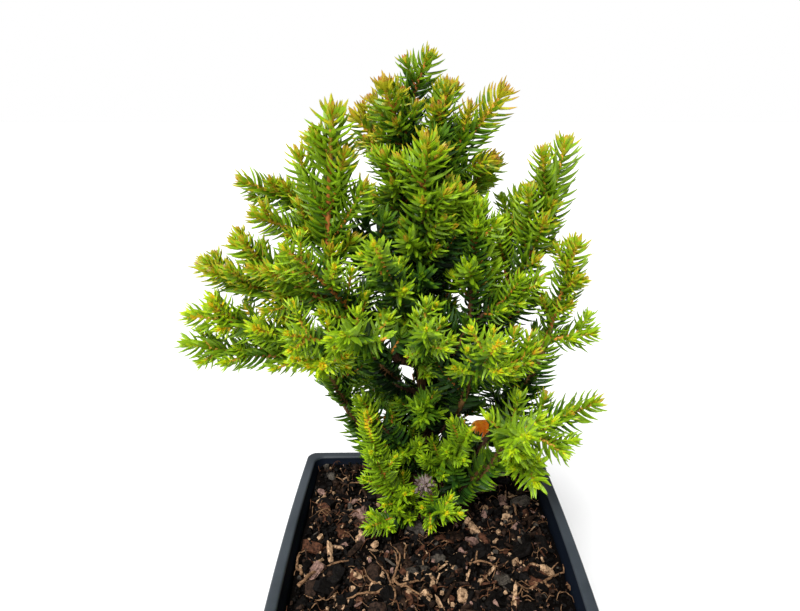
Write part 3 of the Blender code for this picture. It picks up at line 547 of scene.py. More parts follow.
LATTICE = 32  # side of the block of random numbers, which repeats


def noise_table(seed):
    """A block of random numbers that smooth noise is read from."""
    return np.random.default_rng(seed).random((LATTICE,) * 3)


def eased(share):
    """An s-curve from 0 to 1: three times the square less twice the cube."""
    return share * share * (3 - 2 * share)


def smooth_noise(points, cell, seed):
    """Noise from -1 to 1: random numbers on a lattice, blended between its corners."""
    table = noise_table(seed)
    place = np.asarray(points) / cell
    low = np.floor(place).astype(int)
    part = eased(place - low)
    total = np.zeros(place.shape[:-1])
    for corner in np.ndindex(2, 2, 2):
        index = (low + corner) % LATTICE
        weight = np.prod(np.where(corner, part, 1 - part), axis=-1)
        total += weight * table[index[..., 0], index[..., 1], index[..., 2]]
    return total * 2 - 1


def put_in_scene(name, data):
    """A new object for a mesh, light or camera, linked to the scene."""
    item = bpy.data.objects.new(name, data)
    bpy.context.scene.collection.objects.link(item)
    return item


def new_piece(name, points, quads, thirds, materials, tones=None, smooth=True):
    """A mesh object at the origin, from points, four-cornered and three-cornered faces."""
    mesh = bpy.data.meshes.new(name)
    quads = np.asarray(quads, dtype=np.int32).reshape(-1, 4)
    thirds = np.asarray(thirds, dtype=np.int32).reshape(-1, 3)
    corners = np.concatenate((quads.ravel(), thirds.ravel()))
    four = np.arange(len(quads)) * 4
    three = 4 * len(quads) + np.arange(len(thirds)) * 3
    mesh.vertices.add(len(points))
    mesh.vertices.foreach_set("co", np.asarray(points, dtype=np.float32).ravel())
    mesh.loops.add(len(corners))
    mesh.loops.foreach_set("vertex_index", corners)
    mesh.polygons.add(len(quads) + len(thirds))
    mesh.polygons.foreach_set("loop_start", np.concatenate((four, three)).astype(np.int32))
    for material in materials:
        mesh.materials.append(material)
    if tones is not None:
        mesh.polygons.foreach_set("material_index", np.asarray(tones, dtype=np.int32))
    mesh.update(calc_edges=True)
    mesh.validate()
    if smooth:
        mesh.shade_smooth()
    else:
        mesh.shade_flat()
    piece = put_in_scene(name, mesh)
    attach(piece, BODY)
    return piece


def grid_faces(rows, columns):
    """Faces of rows of points whose columns close on themselves, as four-cornered faces."""
    row = np.arange(rows - 1)[:, None] * columns
    column = np.arange(columns)[None, :]
    after = (column + 1) % columns
    above = row + columns
    faces = np.stack((row + column, row + after, above + after, above + column), -1)
    return faces.reshape(-1, 4)


def fan_faces(ring, middle, reverse):
    """Faces from a ring of point numbers to one middle point."""
    after = np.roll(ring, -1)
    if reverse:
        ring, after = after, ring
    return np.stack((ring, after, np.full(len(ring), middle)), -1)


def closed_skins(grids):
    """Points and faces of grids of one size, each wrapped round its columns and closed by fans."""
    number, rows, columns = grids.shape[:3]
    poles = np.stack((grids[:, 0].mean(axis=1), grids[:, -1].mean(axis=1)), 1)
    points = np.concatenate((grids.reshape(number, -1, 3), poles), axis=1).reshape(-1, 3)
    first = np.arange(columns)
    middle = rows * columns
    ends = np.concatenate((
        fan_faces(first, middle, True),
        fan_faces(first + middle - columns, middle + 1, False),
    ))
    quads = repeated(grid_faces(rows, columns), number, middle + 2)
    return points, quads, repeated(ends, number, middle + 2)


def repeated(faces, number, step):
    """The same faces for each of many skins, whose points follow each other a step apart."""
    shifts = (np.arange(number) * step)[:, None, None]
    return (faces[None] + shifts).reshape(-1, faces.shape[1])


def closed_skin(grid):
    """Points and faces of one such grid."""
    return closed_skins(grid[None])


def side_frames(path):
    """Unit vectors along a path and two square to it, turned as little as may be."""
    along = np.gradient(path, axis=0)
    along /= np.linalg.norm(along, axis=1)[:, None]
    middle = along.mean(axis=0)
    least = np.eye(3)[np.argmin(np.abs(middle))]
    first = np.cross(along, least)
    first /= np.linalg.norm(first, axis=1)[:, None]
    return along, first, np.cross(along, first)


def tube_grid(path, radii, sides, ridges=0.0, ridge_count=5, twist=0.0):
    """A tube: rings of a radius that swells on ridges, which wind slowly round the path."""
    _, first, second = side_frames(path)
    turn = np.arange(sides) * 2 * math.pi / sides
    wind = np.arange(len(path))[:, None] * twist
    swell = 1 + ridges * np.cos(ridge_count * (turn[None, :] + wind))
    reach = np.asarray(radii)[:, None] * swell
    outward = (first[:, None, :] * np.cos(turn)[None, :, None]
               + second[:, None, :] * np.sin(turn)[None, :, None])
    return path[:, None, :] + outward * reach[:, :, None]


class Joined:
    """Several skins gathered into one mesh."""

    def __init__(self):
        """No skins yet."""
        self.points = []
        self.quads = []
        self.thirds = []
        self.quad_tones = []
        self.third_tones = []
        self.count = 0

    def add(self, skin, quad_tones, third_tones):
        """Take in one skin, and one tone for all its faces or a tone for each."""
        points, quads, thirds = skin
        self.points.append(points)
        self.quads.append(np.asarray(quads).reshape(-1, 4) + self.count)
        self.thirds.append(np.asarray(thirds).reshape(-1, 3) + self.count)
        self.quad_tones.append(np.broadcast_to(quad_tones, len(quads)))
        self.third_tones.append(np.broadcast_to(third_tones, len(thirds)))
        self.count += len(points)

    def piece(self, name, materials, smooth=True):
        """The gathered skins as one object."""
        return new_piece(
            name,
            np.concatenate(self.points),
            np.concatenate(self.quads),
            np.concatenate(self.thirds),
            materials,
            np.concatenate(self.quad_tones + self.third_tones),
            smooth,
        )


# ---- finishes

def plain_finish(name, colour, roughness, specular=0.5):
    """A finish of one colour, which the others start from."""
    material = bpy.data.materials.new(name)
    material.use_nodes = True
    shader = material.node_tree.nodes["Principled BSDF"]
    shader.inputs["Base Color"].default_value = (*colour, 1.0)
    shader.inputs["Roughness"].default_value = roughness
    shader.inputs["Specular IOR Level"].default_value = specular
    return material


def add_node(tree, kind, **values):
    """A shader node, with its own settings."""
    node = tree.nodes.new(kind)
    for key, value in values.items():
        setattr(node, key, value)
    return node


def noise_node(tree, place, scale, detail, roughness=0.6):
    """Smooth noise read at a place, as a value from 0 to 1."""
    node = add_node(tree, "ShaderNodeTexNoise")
    node.inputs["Scale"].default_value = scale
    node.inputs["Detail"].default_value = detail
    node.inputs["Roughness"].default_value = roughness
    tree.links.new(place, node.inputs["Vector"])
    return node.outputs["Fac"]


def ramp_node(tree, value, stops):
    """A colour for each value, blended between stops of place and colour."""
    node = add_node(tree, "ShaderNodeValToRGB")
    ramp = node.color_ramp
    while len(ramp.elements) < len(stops):
        ramp.elements.new(0.5)
    for element, (place, colour) in zip(ramp.elements, stops):
        element.position = place
        element.color = (*colour, 1.0)
    tree.links.new(value, node.inputs["Fac"])
    return node.outputs["Color"]


def span_node(tree, value, low, high, to_low, to_high):
    """A value carried from one span to another and held at its ends."""
    node = add_node(tree, "ShaderNodeMapRange")
    spans = {"From Min": low, "From Max": high, "To Min": to_low, "To Max": to_high}
    for socket, number in spans.items():
        node.inputs[socket].default_value = number
    tree.links.new(value, node.inputs["Value"])
    return node.outputs["Result"]


def bump_node(tree, height, distance, shader):
    """Relief that tilts the light without moving the surface."""
    node = add_node(tree, "ShaderNodeBump")
    node.inputs["Distance"].default_value = distance
    node.inputs["Strength"].default_value = 1.0
    tree.links.new(height, node.inputs["Height"])
    tree.links.new(node.outputs["Normal"], shader.inputs["Normal"])


def object_place(tree):
    """Where a point lies on the object, in metres."""
    return add_node(tree, "ShaderNodeTexCoord").outputs["Object"]


def begin_finish(name, colour, roughness, specular=0.5):
    """A plain finish, with its nodes, its shader and the place that patterns are read at."""
    material = plain_finish(name, colour, roughness, specular)
    tree = material.node_tree
    return material, tree, tree.nodes["Principled BSDF"], object_place(tree)


def grained_finish(name, colour, roughness, specular, grain, stops, relief, squeeze=None):
    """A finish whose colour and relief follow one noise, of a scale, detail and roughness.

    A squeeze under one draws the noise out into upright streaks.
    """
    material, tree, shader, place = begin_finish(name, colour, roughness, specular)
    if squeeze is not None:
        stretch = add_node(tree, "ShaderNodeMapping")
        stretch.inputs["Scale"].default_value = (1.0, 1.0, squeeze)
        tree.links.new(place, stretch.inputs["Vector"])
        place = stretch.outputs["Vector"]
    noise = noise_node(tree, place, *grain)
    tree.links.new(ramp_node(tree, noise, stops), shader.inputs["Base Color"])
    bump_node(tree, noise, relief, shader)
    return material


PLASTIC_CLOUD = (55, 5)  # scale and detail of the bloom on the plastic
PLASTIC_GRAIN = (1500, 2)  # and of its moulded grain
PLASTIC_RELIEF = 0.00006
LIP_LIGHT_BAND = (0.0012, 0.0002)  # painted light: the lip is painted paler between these depths under the top
LIP_PAINTED_LIGHT = 0.35


def plastic_finish():
    """Slate-black moulded plastic: a fine matte grain, a dusty bloom and a lip painted paler, as
    painted light on its top.
    """
    material, tree, shader, place = begin_finish("slate_plastic", (0.03, 0.036, 0.045), 0.5)
    cloud = noise_node(tree, place, *PLASTIC_CLOUD)
    split = add_node(tree, "ShaderNodeSeparateXYZ")
    tree.links.new(place, split.inputs["Vector"])
    # Painted light: the colour is lifted on the lip's top band, where light falls on it.
    low, high = (POT_HEIGHT - depth for depth in LIP_LIGHT_BAND)
    painted_lip_light = span_node(tree, split.outputs["Z"], low, high, 0.0, LIP_PAINTED_LIGHT)
    mixed = add_node(tree, "ShaderNodeMath", operation="ADD")
    tree.links.new(cloud, mixed.inputs[0])
    tree.links.new(painted_lip_light, mixed.inputs[1])
    colour = ramp_node(tree, mixed.outputs[0], (
        (0.30, (0.014, 0.019, 0.025)),
        (0.62, (0.024, 0.031, 0.040)),
        (0.90, (0.042, 0.052, 0.064)),
    ))
    tree.links.new(colour, shader.inputs["Base Color"])
    tree.links.new(span_node(tree, cloud, 0.3, 0.7, 0.42, 0.62), shader.inputs["Roughness"])
    bump_node(tree, noise_node(tree, place, *PLASTIC_GRAIN), PLASTIC_RELIEF, shader)
    return material


def shaded_inner_plastic_finish():
    """The pot's inner wall: the same plastic painted nearly black as painted shade, with the same
    cloud and fine grain.
    """
    material, tree, shader, place = begin_finish(
        "slate_plastic_painted_shade", (0.004, 0.007, 0.014), 0.7, 0.08)
    colour = ramp_node(tree, noise_node(tree, place, *PLASTIC_CLOUD), (
        (0.30, (0.003, 0.005, 0.010)),
        (0.70, (0.005, 0.009, 0.018)),
    ))
    tree.links.new(colour, shader.inputs["Base Color"])
    bump_node(tree, noise_node(tree, place, *PLASTIC_GRAIN), PLASTIC_RELIEF, shader)
    return material


def compost_finish():
    """Damp black compost: fine crumbs of near-black and dark brown."""
    return grained_finish("compost", (0.02, 0.013, 0.009), 0.9, 0.05, (900, 8, 0.75), (
        (0.38, (0.001, 0.0007, 0.0006)),
        (0.58, (0.0035, 0.0022, 0.0016)),
        (0.76, (0.018, 0.010, 0.007)),
    ), 0.0006)


def chip_finish(name, dark, light, roughness=0.8):
    """Dry bark, root or leaf: a fine grain between a dark and a light tone."""
    stops = ((0.38, dark), (0.60, light))
    return grained_finish(name, light, roughness, 0.10, (900, 6, 0.75), stops, 0.0004)


def bark_finish(name, dark, middle, light, squeeze):
    """Fibrous bark: narrow upright streaks from dark cracks to light ridges."""
    stops = ((0.32, dark), (0.50, middle), (0.70, light))
    return grained_finish(name, middle, 0.8, 0.3, (1400, 6, 0.7), stops, 0.00035, squeeze)


# ---- pot and compost

CORNER_POINTS = 10  # steps round each corner of the square
SIDE_POINTS = 22  # points on each of its flats
LIP_POINTS = 6  # on each round edge of the lip
WALL_RINGS = 14  # up the outer wall, and down the inner one


def square_outline():
    """One turn round a rounded square: quarter turn, share across its flat, share round its corner.

    A point on a flat has a share round the corner of less than nothing.
    """
    points = []
    for quarter in range(4):
        turn = quarter * math.pi / 2
        for step in range(SIDE_POINTS):
            across = -1 + 2 * (step + 0.5) / SIDE_POINTS
            points.append((turn, across, -1.0))
        for step in range(CORNER_POINTS + 1):
            points.append((turn, 1.0, step / CORNER_POINTS))
    return np.array(points)


def square_rings(halves, heights):
    """Rings of a rounded square: each flat swells by the bow, each corner is a quarter circle."""
    turn, across, round_share = square_outline().T
    half = np.asarray(halves)[:, None]
    height = np.asarray(heights)[:, None]
    corner = np.minimum(CORNER_ROUND, half * 0.5)
    flat = half - corner
    bow = bow_at(height)
    angle = np.maximum(round_share, 0) * math.pi / 2
    on_flat = round_share < 0
    x = np.where(on_flat, half + bow * (1 - across ** 2), flat + corner * np.cos(angle))
    y = np.where(on_flat, flat * across, flat + corner * np.sin(angle))
    level = np.broadcast_to(height, x.shape)
    cosine, sine = np.cos(turn), np.sin(turn)
    return np.stack((x * cosine - y * sine, x * sine + y * cosine, level), -1)


def pot_profile():
    """The pot's section as half widths and heights: up from the foot, over the lip, down inside."""
    shoulder = POT_HEIGHT - COLLAR_DEPTH
    lip_inner = RIM_HALF - LIP_WIDTH
    floor_half = inner_half(0.0)
    rounds = [(LIP_ROUND * (1 - math.cos(turn)), LIP_ROUND * (1 - math.sin(turn)))
              for turn in np.linspace(0, math.pi / 2, LIP_POINTS)]
    outer_lip = [(RIM_HALF - across, POT_HEIGHT - down) for across, down in rounds]
    inner_lip = [(lip_inner + across, POT_HEIGHT - down) for down, across in rounds]
    up = np.linspace(BASE_ROUND, shoulder, WALL_RINGS)
    down = np.linspace(shoulder, WALL + FLOOR_FILLET, WALL_RINGS)
    walls = [(outer_half(height), height) for height in up]
    inner = [(inner_half(height), height) for height in down]
    profile = [
        (BASE_HALF - BASE_ROUND, 0.0),
        (BASE_HALF - BASE_ROUND * 0.3, BASE_ROUND * 0.3),
        *walls,
        (SHOULDER_HALF + EDGE_EASE, shoulder),
        (COLLAR_HALF - EDGE_EASE, shoulder + COLLAR_EDGE * 0.3),
        (COLLAR_HALF, shoulder + COLLAR_EDGE),
        (COLLAR_HALF + COLLAR_SPREAD, POT_HEIGHT - LIP_DEPTH - LIP_SLOPE),
        (RIM_HALF - EDGE_EASE, POT_HEIGHT - LIP_DEPTH - LIP_SLOPE * 0.3),
        (RIM_HALF, POT_HEIGHT - LIP_DEPTH),
        *outer_lip,
        *inner_lip,
        (inner_half(shoulder) + LEDGE_EASE, POT_HEIGHT - LEDGE_DEPTH * 0.8),
        (inner_half(shoulder), POT_HEIGHT - LEDGE_DEPTH),
        *inner,
        (floor_half - FLOOR_FILLET * 0.5, WALL + FLOOR_FILLET * 0.4),
        (floor_half - FLOOR_FILLET * 1.5, WALL),
    ]
    return np.array(profile)


def drain_cutter(x, y):
    """A round rod that pierces the floor: rings of one radius at two heights."""
    path = np.array(((x, y, -2 * WALL), (x, y, 0.0), (x, y, 3 * WALL)))
    grid = tube_grid(path, (DRAIN_RADIUS,) * 3, DRAIN_POINTS)
    points, quads, ends = closed_skin(grid)
    mesh = bpy.data.meshes.new("drain")
    mesh.from_pydata(points.tolist(), [], quads.tolist() + ends.tolist())
    return put_in_scene("drain", mesh)


def pierce(piece, cutters):
    """Cut every cutter out of a piece, then remove the cutters."""
    for cutter in cutters:
        step = piece.modifiers.new("cut", "BOOLEAN")
        step.operation = "DIFFERENCE"
        step.solver = "EXACT"
        step.object = cutter
    bpy.context.view_layer.update()
    graph = bpy.context.evaluated_depsgraph_get()
    mesh = bpy.data.meshes.new_from_object(piece.evaluated_get(graph))
    piece.modifiers.clear()
    old = piece.data
    piece.data = mesh
    bpy.data.meshes.remove(old)
    for cutter in cutters:
        bpy.data.objects.remove(cutter)


DRAIN_POINTS = 40
POT_SHARP = 40  # edges that turn by more degrees than this look sharp
SHADED_WALL_ROW = 33  # row of the section where the inner wall starts, which is darkened with painted shade


def make_pot():
    """The pot: its section carried round a rounded square, with four drain holes."""
    profile = pot_profile()
    grid = square_rings(profile[:, 0], profile[:, 1])
    points, quads, ends = closed_skin(grid)
    columns = grid.shape[1]
    # The inner wall gets the second finish: painted shade, near black, where the pot's own shadow
    # falls.
    tones = np.repeat(np.arange(len(profile) - 1) >= SHADED_WALL_ROW, columns).astype(int)
    tones = np.concatenate((tones, np.repeat((0, 1), columns)))
    finishes = [plastic_finish(), shaded_inner_plastic_finish()]
    pot = new_piece("pot_shell", points, quads, ends, finishes, tones)
    offsets = (-DRAIN_OFFSET, DRAIN_OFFSET)
    pierce(pot, [drain_cutter(x, y) for x in offsets for y in offsets])
    pot.data.set_sharp_from_angle(angle=math.radians(POT_SHARP))
    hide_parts("pot")


# The compost's relief: size of its cells, height and seed, from humps to the finest crumbs
HUMPS = (0.022, 0.0010, 21)
LUMPS = (0.0060, 0.0009, 22)
CRUMBS = (0.0022, 0.0005, 23)
FINE_CRUMBS = (0.0009, 0.00025, 24)
TRUNK_CLEAR = 0.004  # the compost is level this near the trunk, and no litter lies there
LEVEL_FADE = 0.008  # its humps grow to their height over this
WALL_BANK = (0.024, 0.014, 0.0016)  # where the bank at the wall starts, its run and its height
BACK_BANK = (0.022, 0.017, 0.0028)  # the same for the bank along the back
SINK = 0.0006  # the mean surface lies this far under the compost's top
SOIL_WALL_RINGS = 12
SOIL_TOP_RINGS = 90


def relief(flat, kind):
    """Smooth noise of one kind over the compost."""
    cell, height, seed = kind
    return smooth_noise(flat, cell, seed) * height


def bank_height(reach, kind):
    """A bank that rises by an s-curve from its start over its run."""
    start, run, height = kind
    return eased(np.clip((reach - start) / run, 0, 1)) * height


def compost_height(x, y):
    """Height of the compost: humps, lumps and crumbs.

    It is level round the trunk's foot, and banked up at the pot's wall and along the back.
    """
    flat = np.stack((x, y, np.zeros_like(x)), -1)
    crumbs = relief(flat, CRUMBS) + relief(flat, FINE_CRUMBS)
    near = np.hypot(x - TRUNK_FOOT[0], y - TRUNK_FOOT[1])
    hold = np.clip((near - TRUNK_CLEAR) / LEVEL_FADE, 0, 1)
    bank = bank_height(np.maximum(np.abs(x), np.abs(y)), WALL_BANK) + bank_height(y, BACK_BANK)
    return SOIL_TOP - SINK + (relief(flat, HUMPS) + relief(flat, LUMPS)) * hold + crumbs + bank


def make_compost():
    """The compost's skin: the pot's inner shape up to the edge, then a lumpy surface."""
    bottom = WALL + GAP
    highest = SOIL_TOP - SOIL_EDGE_DEPTH
    wall_heights = np.linspace(bottom + SOIL_FOOT_ROUND, highest, SOIL_WALL_RINGS)
    halves = [inner_half(bottom) - SOIL_FIT - 2 * SOIL_FOOT_ROUND]
    halves += [inner_half(height) - SOIL_FIT for height in wall_heights]
    wall = square_rings(halves, [bottom, *wall_heights])
    top = wall[-1][None, :, :] * np.linspace(1, 0.01, SOIL_TOP_RINGS)[:, None, None]
    top[..., 2] = compost_height(top[..., 0], top[..., 1])
    points, quads, ends = closed_skin(np.concatenate((wall, top)))
    soil = new_piece("compost", points, quads, ends, [compost_finish()])
    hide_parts("soil")


def scatter(count, seed, slack):
    """Random places on the compost, kept off the wall and the trunk's foot."""
    dice = np.random.default_rng(seed)
    x = dice.uniform(-SOIL_EDGE, SOIL_EDGE, count)
    y = dice.uniform(-SOIL_EDGE, SOIL_EDGE, count)
    keep = np.hypot(x - TRUNK_FOOT[0], y - TRUNK_FOOT[1]) > TRUNK_CLEAR + slack
    keep &= np.maximum(np.abs(x), np.abs(y)) < SOIL_EDGE - slack
    return x[keep], y[keep], dice


BALL_POWER = 0.45  # under one, it squares a ball into a chip
CHIP_JITTER = 0.30  # how much of a chip's reach is chipped at random
THICKNESS_SPREAD = (0.6, 1.4)  # of a chip's thickness, as shares of its kind's
CHIP_LIFT = (0.1, 1.3)  # how high a chip's middle lies, in half thicknesses
PILE_HEIGHT = 0.0011  # and up to this much more, on other chips


def squared(value):
    """A sine or cosine raised to the ball's power, with its sign."""
    return np.sign(value) * np.abs(value) ** BALL_POWER


def chip_skins(count, seed, low, high, rows, columns, slimness, flatness, tall):
    """Bark chips: each a flattened, squared-off ball, chipped by noise and tipped at random.

    The ball is read on a grid of latitude and longitude.  The sine and cosine of both are
    raised to a power under one, which squares it, and each chip has its own three sizes.
    """
    x, y, dice = scatter(count, seed, low)
    number = len(x)
    long_size = low + (high - low) * dice.random(number) ** 2
    thinnest, thickest = (flatness * share for share in THICKNESS_SPREAD)
    sizes = np.stack((
        long_size,
        long_size * dice.uniform(*slimness, number),
        long_size * dice.uniform(thinnest, thickest, number),
    ), -1) / 2
    latitude = np.linspace(-math.pi / 2, math.pi / 2, rows)[:, None]
    longitude = (np.arange(columns) * 2 * math.pi / columns)[None, :]
    ball = np.stack(np.broadcast_arrays(
        squared(np.cos(latitude)) * squared(np.cos(longitude)),
        squared(np.cos(latitude)) * squared(np.sin(longitude)),
        squared(np.sin(latitude)),
    ), -1)
    grid = ball[None] * sizes[:, None, None, :]
    grid *= 1 + CHIP_JITTER * (dice.random((number, rows, columns, 1)) - 0.5)
    spin = dice.uniform(0, 2 * math.pi, number)
    tip = dice.normal(0, tall, number)
    lean = dice.normal(0, tall, number)
    turns = turns_about(0, tip) @ turns_about(1, lean) @ turns_about(2, spin)
    grid = grid @ turns[:, None]
    lift = sizes[:, 2] * dice.uniform(*CHIP_LIFT, number) + dice.uniform(0, PILE_HEIGHT, number)
    grid += np.stack((x, y, compost_height(x, y) + lift), -1)[:, None, None, :]
    return grid, dice


def turns_about(axis, angles):
    """For each chip, its turn about one axis, as a table of sines and cosines."""
    after = (axis + 1) % 3
    last = (axis + 2) % 3
    turns = np.zeros((len(angles), 3, 3))
    turns[:, axis, axis] = 1.0
    turns[:, after, after] = np.cos(angles)
    turns[:, last, last] = np.cos(angles)
    turns[:, after, last] = np.sin(angles)
    turns[:, last, after] = -np.sin(angles)
    return turns


# The chips' tones, from wet black to dry pale wood: name, dark, light
CHIP_TONES = (
    ("chip_black", (0.0008, 0.0007, 0.0006), (0.0060, 0.0044, 0.0036)),
    ("chip_brown", (0.003, 0.0016, 0.001), (0.044, 0.024, 0.015)),
    ("chip_red", (0.012, 0.005, 0.003), (0.120, 0.048, 0.025)),
    ("chip_tan", (0.090, 0.048, 0.024), (0.640, 0.410, 0.240)),
    ("chip_pink", (0.045, 0.024, 0.019), (0.360, 0.215, 0.170)),
    ("chip_grey", (0.014, 0.012, 0.010), (0.095, 0.080, 0.064)),
)
CHIP_ROUGHNESS = 0.6

# Litter: name, number tried, seed, least and most length, rows and columns of the ball,
# width and thickness as shares of the length, how far it is tipped, share of each tone
LITTER = (
    ("bark_chips", 230, 31, 0.0030, 0.0080, 7, 9, (0.38, 0.75), 0.32, 0.50,
     (0.52, 0.15, 0.09, 0.08, 0.12, 0.04)),
    ("bark_splinters", 620, 34, 0.0030, 0.0105, 5, 7, (0.07, 0.18), 0.09, 0.42,
     (0.42, 0.24, 0.12, 0.13, 0.03, 0.06)),
    ("bark_bits", 1500, 32, 0.0014, 0.0036, 5, 7, (0.40, 0.85), 0.45, 0.70,
     (0.62, 0.16, 0.05, 0.09, 0.04, 0.04)),
    ("bark_crumbs", 3900, 33, 0.0005, 0.0015, 4, 6, (0.40, 0.90), 0.60, 0.90,
     (0.78, 0.10, 0.03, 0.06, 0.01, 0.02)),
)


def make_chips():
    """Large chips, splinters, small chips and crumbs that lie on the compost."""
    materials = [chip_finish(*tone, CHIP_ROUGHNESS) for tone in CHIP_TONES]
    for name, count, seed, low, high, rows, columns, slimness, flatness, tall, shares in LITTER:
        grids, dice = chip_skins(count, seed, low, high, rows, columns, slimness, flatness, tall)
        points, quads, ends = closed_skins(grids)
        tone = dice.choice(len(materials), len(grids), p=shares)
        tones = (np.repeat(tone, (rows - 1) * columns), np.repeat(tone, 2 * columns))
        chips = new_piece(name, points, quads, ends, materials, np.concatenate(tones), smooth=False)


# Dry roots on the compost: x and y of the start, heading, length and radius
DRY_ROOTS = (
    (-0.0110, -0.0190, 95, 0.021, 0.00042),
    (-0.0110, -0.0190, 130, 0.015, 0.00032),
    (-0.0110, -0.0190, 60, 0.014, 0.00045),
    (-0.0110, -0.0190, 5, 0.014, 0.00045),
    (-0.0110, -0.0190, 335, 0.013, 0.00040),
    (-0.0110, -0.0190, 235, 0.016, 0.00052),
    (-0.0110, -0.0190, 205, 0.013, 0.00040),
    (-0.0110, -0.0190, 275, 0.012, 0.00040),
    (-0.0040, -0.0010, 245, 0.011, 0.00045),
    (0.0120, -0.0110, 20, 0.013, 0.00040),
    (0.0150, -0.0115, 70, 0.011, 0.00040),
    (0.0330, -0.0200, 60, 0.014, 0.00040),
    (0.0345, -0.0225, 120, 0.012, 0.00040),
    (0.0330, -0.0200, 200, 0.011, 0.00040),
    (-0.0384, -0.0220, 88, 0.019, 0.00062),
    (-0.0378, -0.0180, 95, 0.015, 0.00052),
    (0.0200, 0.0300, 100, 0.012, 0.00040),
    (-0.0220, 0.0280, 160, 0.013, 0.00042),
    (-0.0180, 0.0310, 60, 0.010, 0.00038),
    (0.0300, 0.0180, 300, 0.013, 0.00042),
)
LOOSE_FIBRES = 260
ROOT_RINGS = 28
ROOT_DRIFT = 0.17  # how much its heading drifts at each ring, in radians
ROOT_LIFT = 0.0022  # its height over the compost, on the chips
ROOT_HUMP = 0.0007
HUMP_TURN = 2.5 * math.pi  # its humps along the root, as a turn
FIBRE_LENGTH = (0.003, 0.009)
FIBRE_SINK = (0.0, 0.0012)  # how far a fibre is pressed among the chips
FIBRE_RADIUS = (0.00012, 0.00024)
FIBRE_STEP = 3  # a fibre keeps every third ring
DARK_SHARE = 0.45


def dry_root_path(x, y, heading, length, dice):
    """A root's middle line: its heading drifts, and it humps up and down on the chips."""
    turn = math.radians(heading) + np.cumsum(dice.normal(0, ROOT_DRIFT, ROOT_RINGS))
    x = np.clip(x + np.cumsum(np.cos(turn)) * length / ROOT_RINGS, -SOIL_EDGE, SOIL_EDGE)
    y = np.clip(y + np.cumsum(np.sin(turn)) * length / ROOT_RINGS, -SOIL_EDGE, SOIL_EDGE)
    humps = np.sin(np.linspace(0, HUMP_TURN, ROOT_RINGS) + dice.uniform(0, 2 * math.pi))
    return np.stack((x, y, compost_height(x, y) + ROOT_LIFT + ROOT_HUMP * humps), -1)


def make_dry_roots():
    """Thin dry roots that lie on the chips: tubes that taper to a thread."""
    dice = np.random.default_rng(61)
    joined = Joined()
    for x, y, heading, length, radius in DRY_ROOTS:
        path = dry_root_path(x, y, heading, length, dice)
        radii = radius * np.linspace(1.0, 0.35, len(path))
        joined.add(closed_skin(tube_grid(path, radii, 8, 0.12, 3, 0.4)), 0, 0)
    for x, y in dice.uniform(-SOIL_EDGE, SOIL_EDGE, (LOOSE_FIBRES, 2)):
        heading, length = dice.uniform(0, 360), dice.uniform(*FIBRE_LENGTH)
        path = dry_root_path(x, y, heading, length, dice)[::FIBRE_STEP]
        path[:, 2] -= dice.uniform(*FIBRE_SINK)
        radii = dice.uniform(*FIBRE_RADIUS) * np.linspace(1, 0.5, len(path))
        skin = closed_skin(tube_grid(path, radii, 5))
        tone = int(dice.random() < DARK_SHARE)
        joined.add(skin, tone, tone)
    roots = joined.piece("dry_roots", [
        chip_finish("dry_root", (0.060, 0.028, 0.014), (0.310, 0.175, 0.090)),
        chip_finish("dark_root", (0.030, 0.012, 0.006), (0.160, 0.070, 0.034)),
    ])


LEAF_FOOT = (0.0226, 0.0370)
LEAF_LOW = 0.0998
LEAF_HIGH = 0.1092
LEAF_HALF = 0.0052  # half its width, laid flat
LEAF_CURL = 1.35  # how far its edges turn in, in radians
LEAF_SPREAD = 0.0026  # how far its tip spreads sideways
LEAF_LEAN = 0.0010  # and leans back
LEAF_TWIST = 0.0016  # how far one edge of its tip rises and the other sinks
LEAF_THICK = 0.00035
STALK_RINGS = 24
STALK_RADIUS = 0.00042
STALK_SWAY = 0.0007
STALK_FRONT = 0.0035  # the stalk stands this far in front of the blade's middle


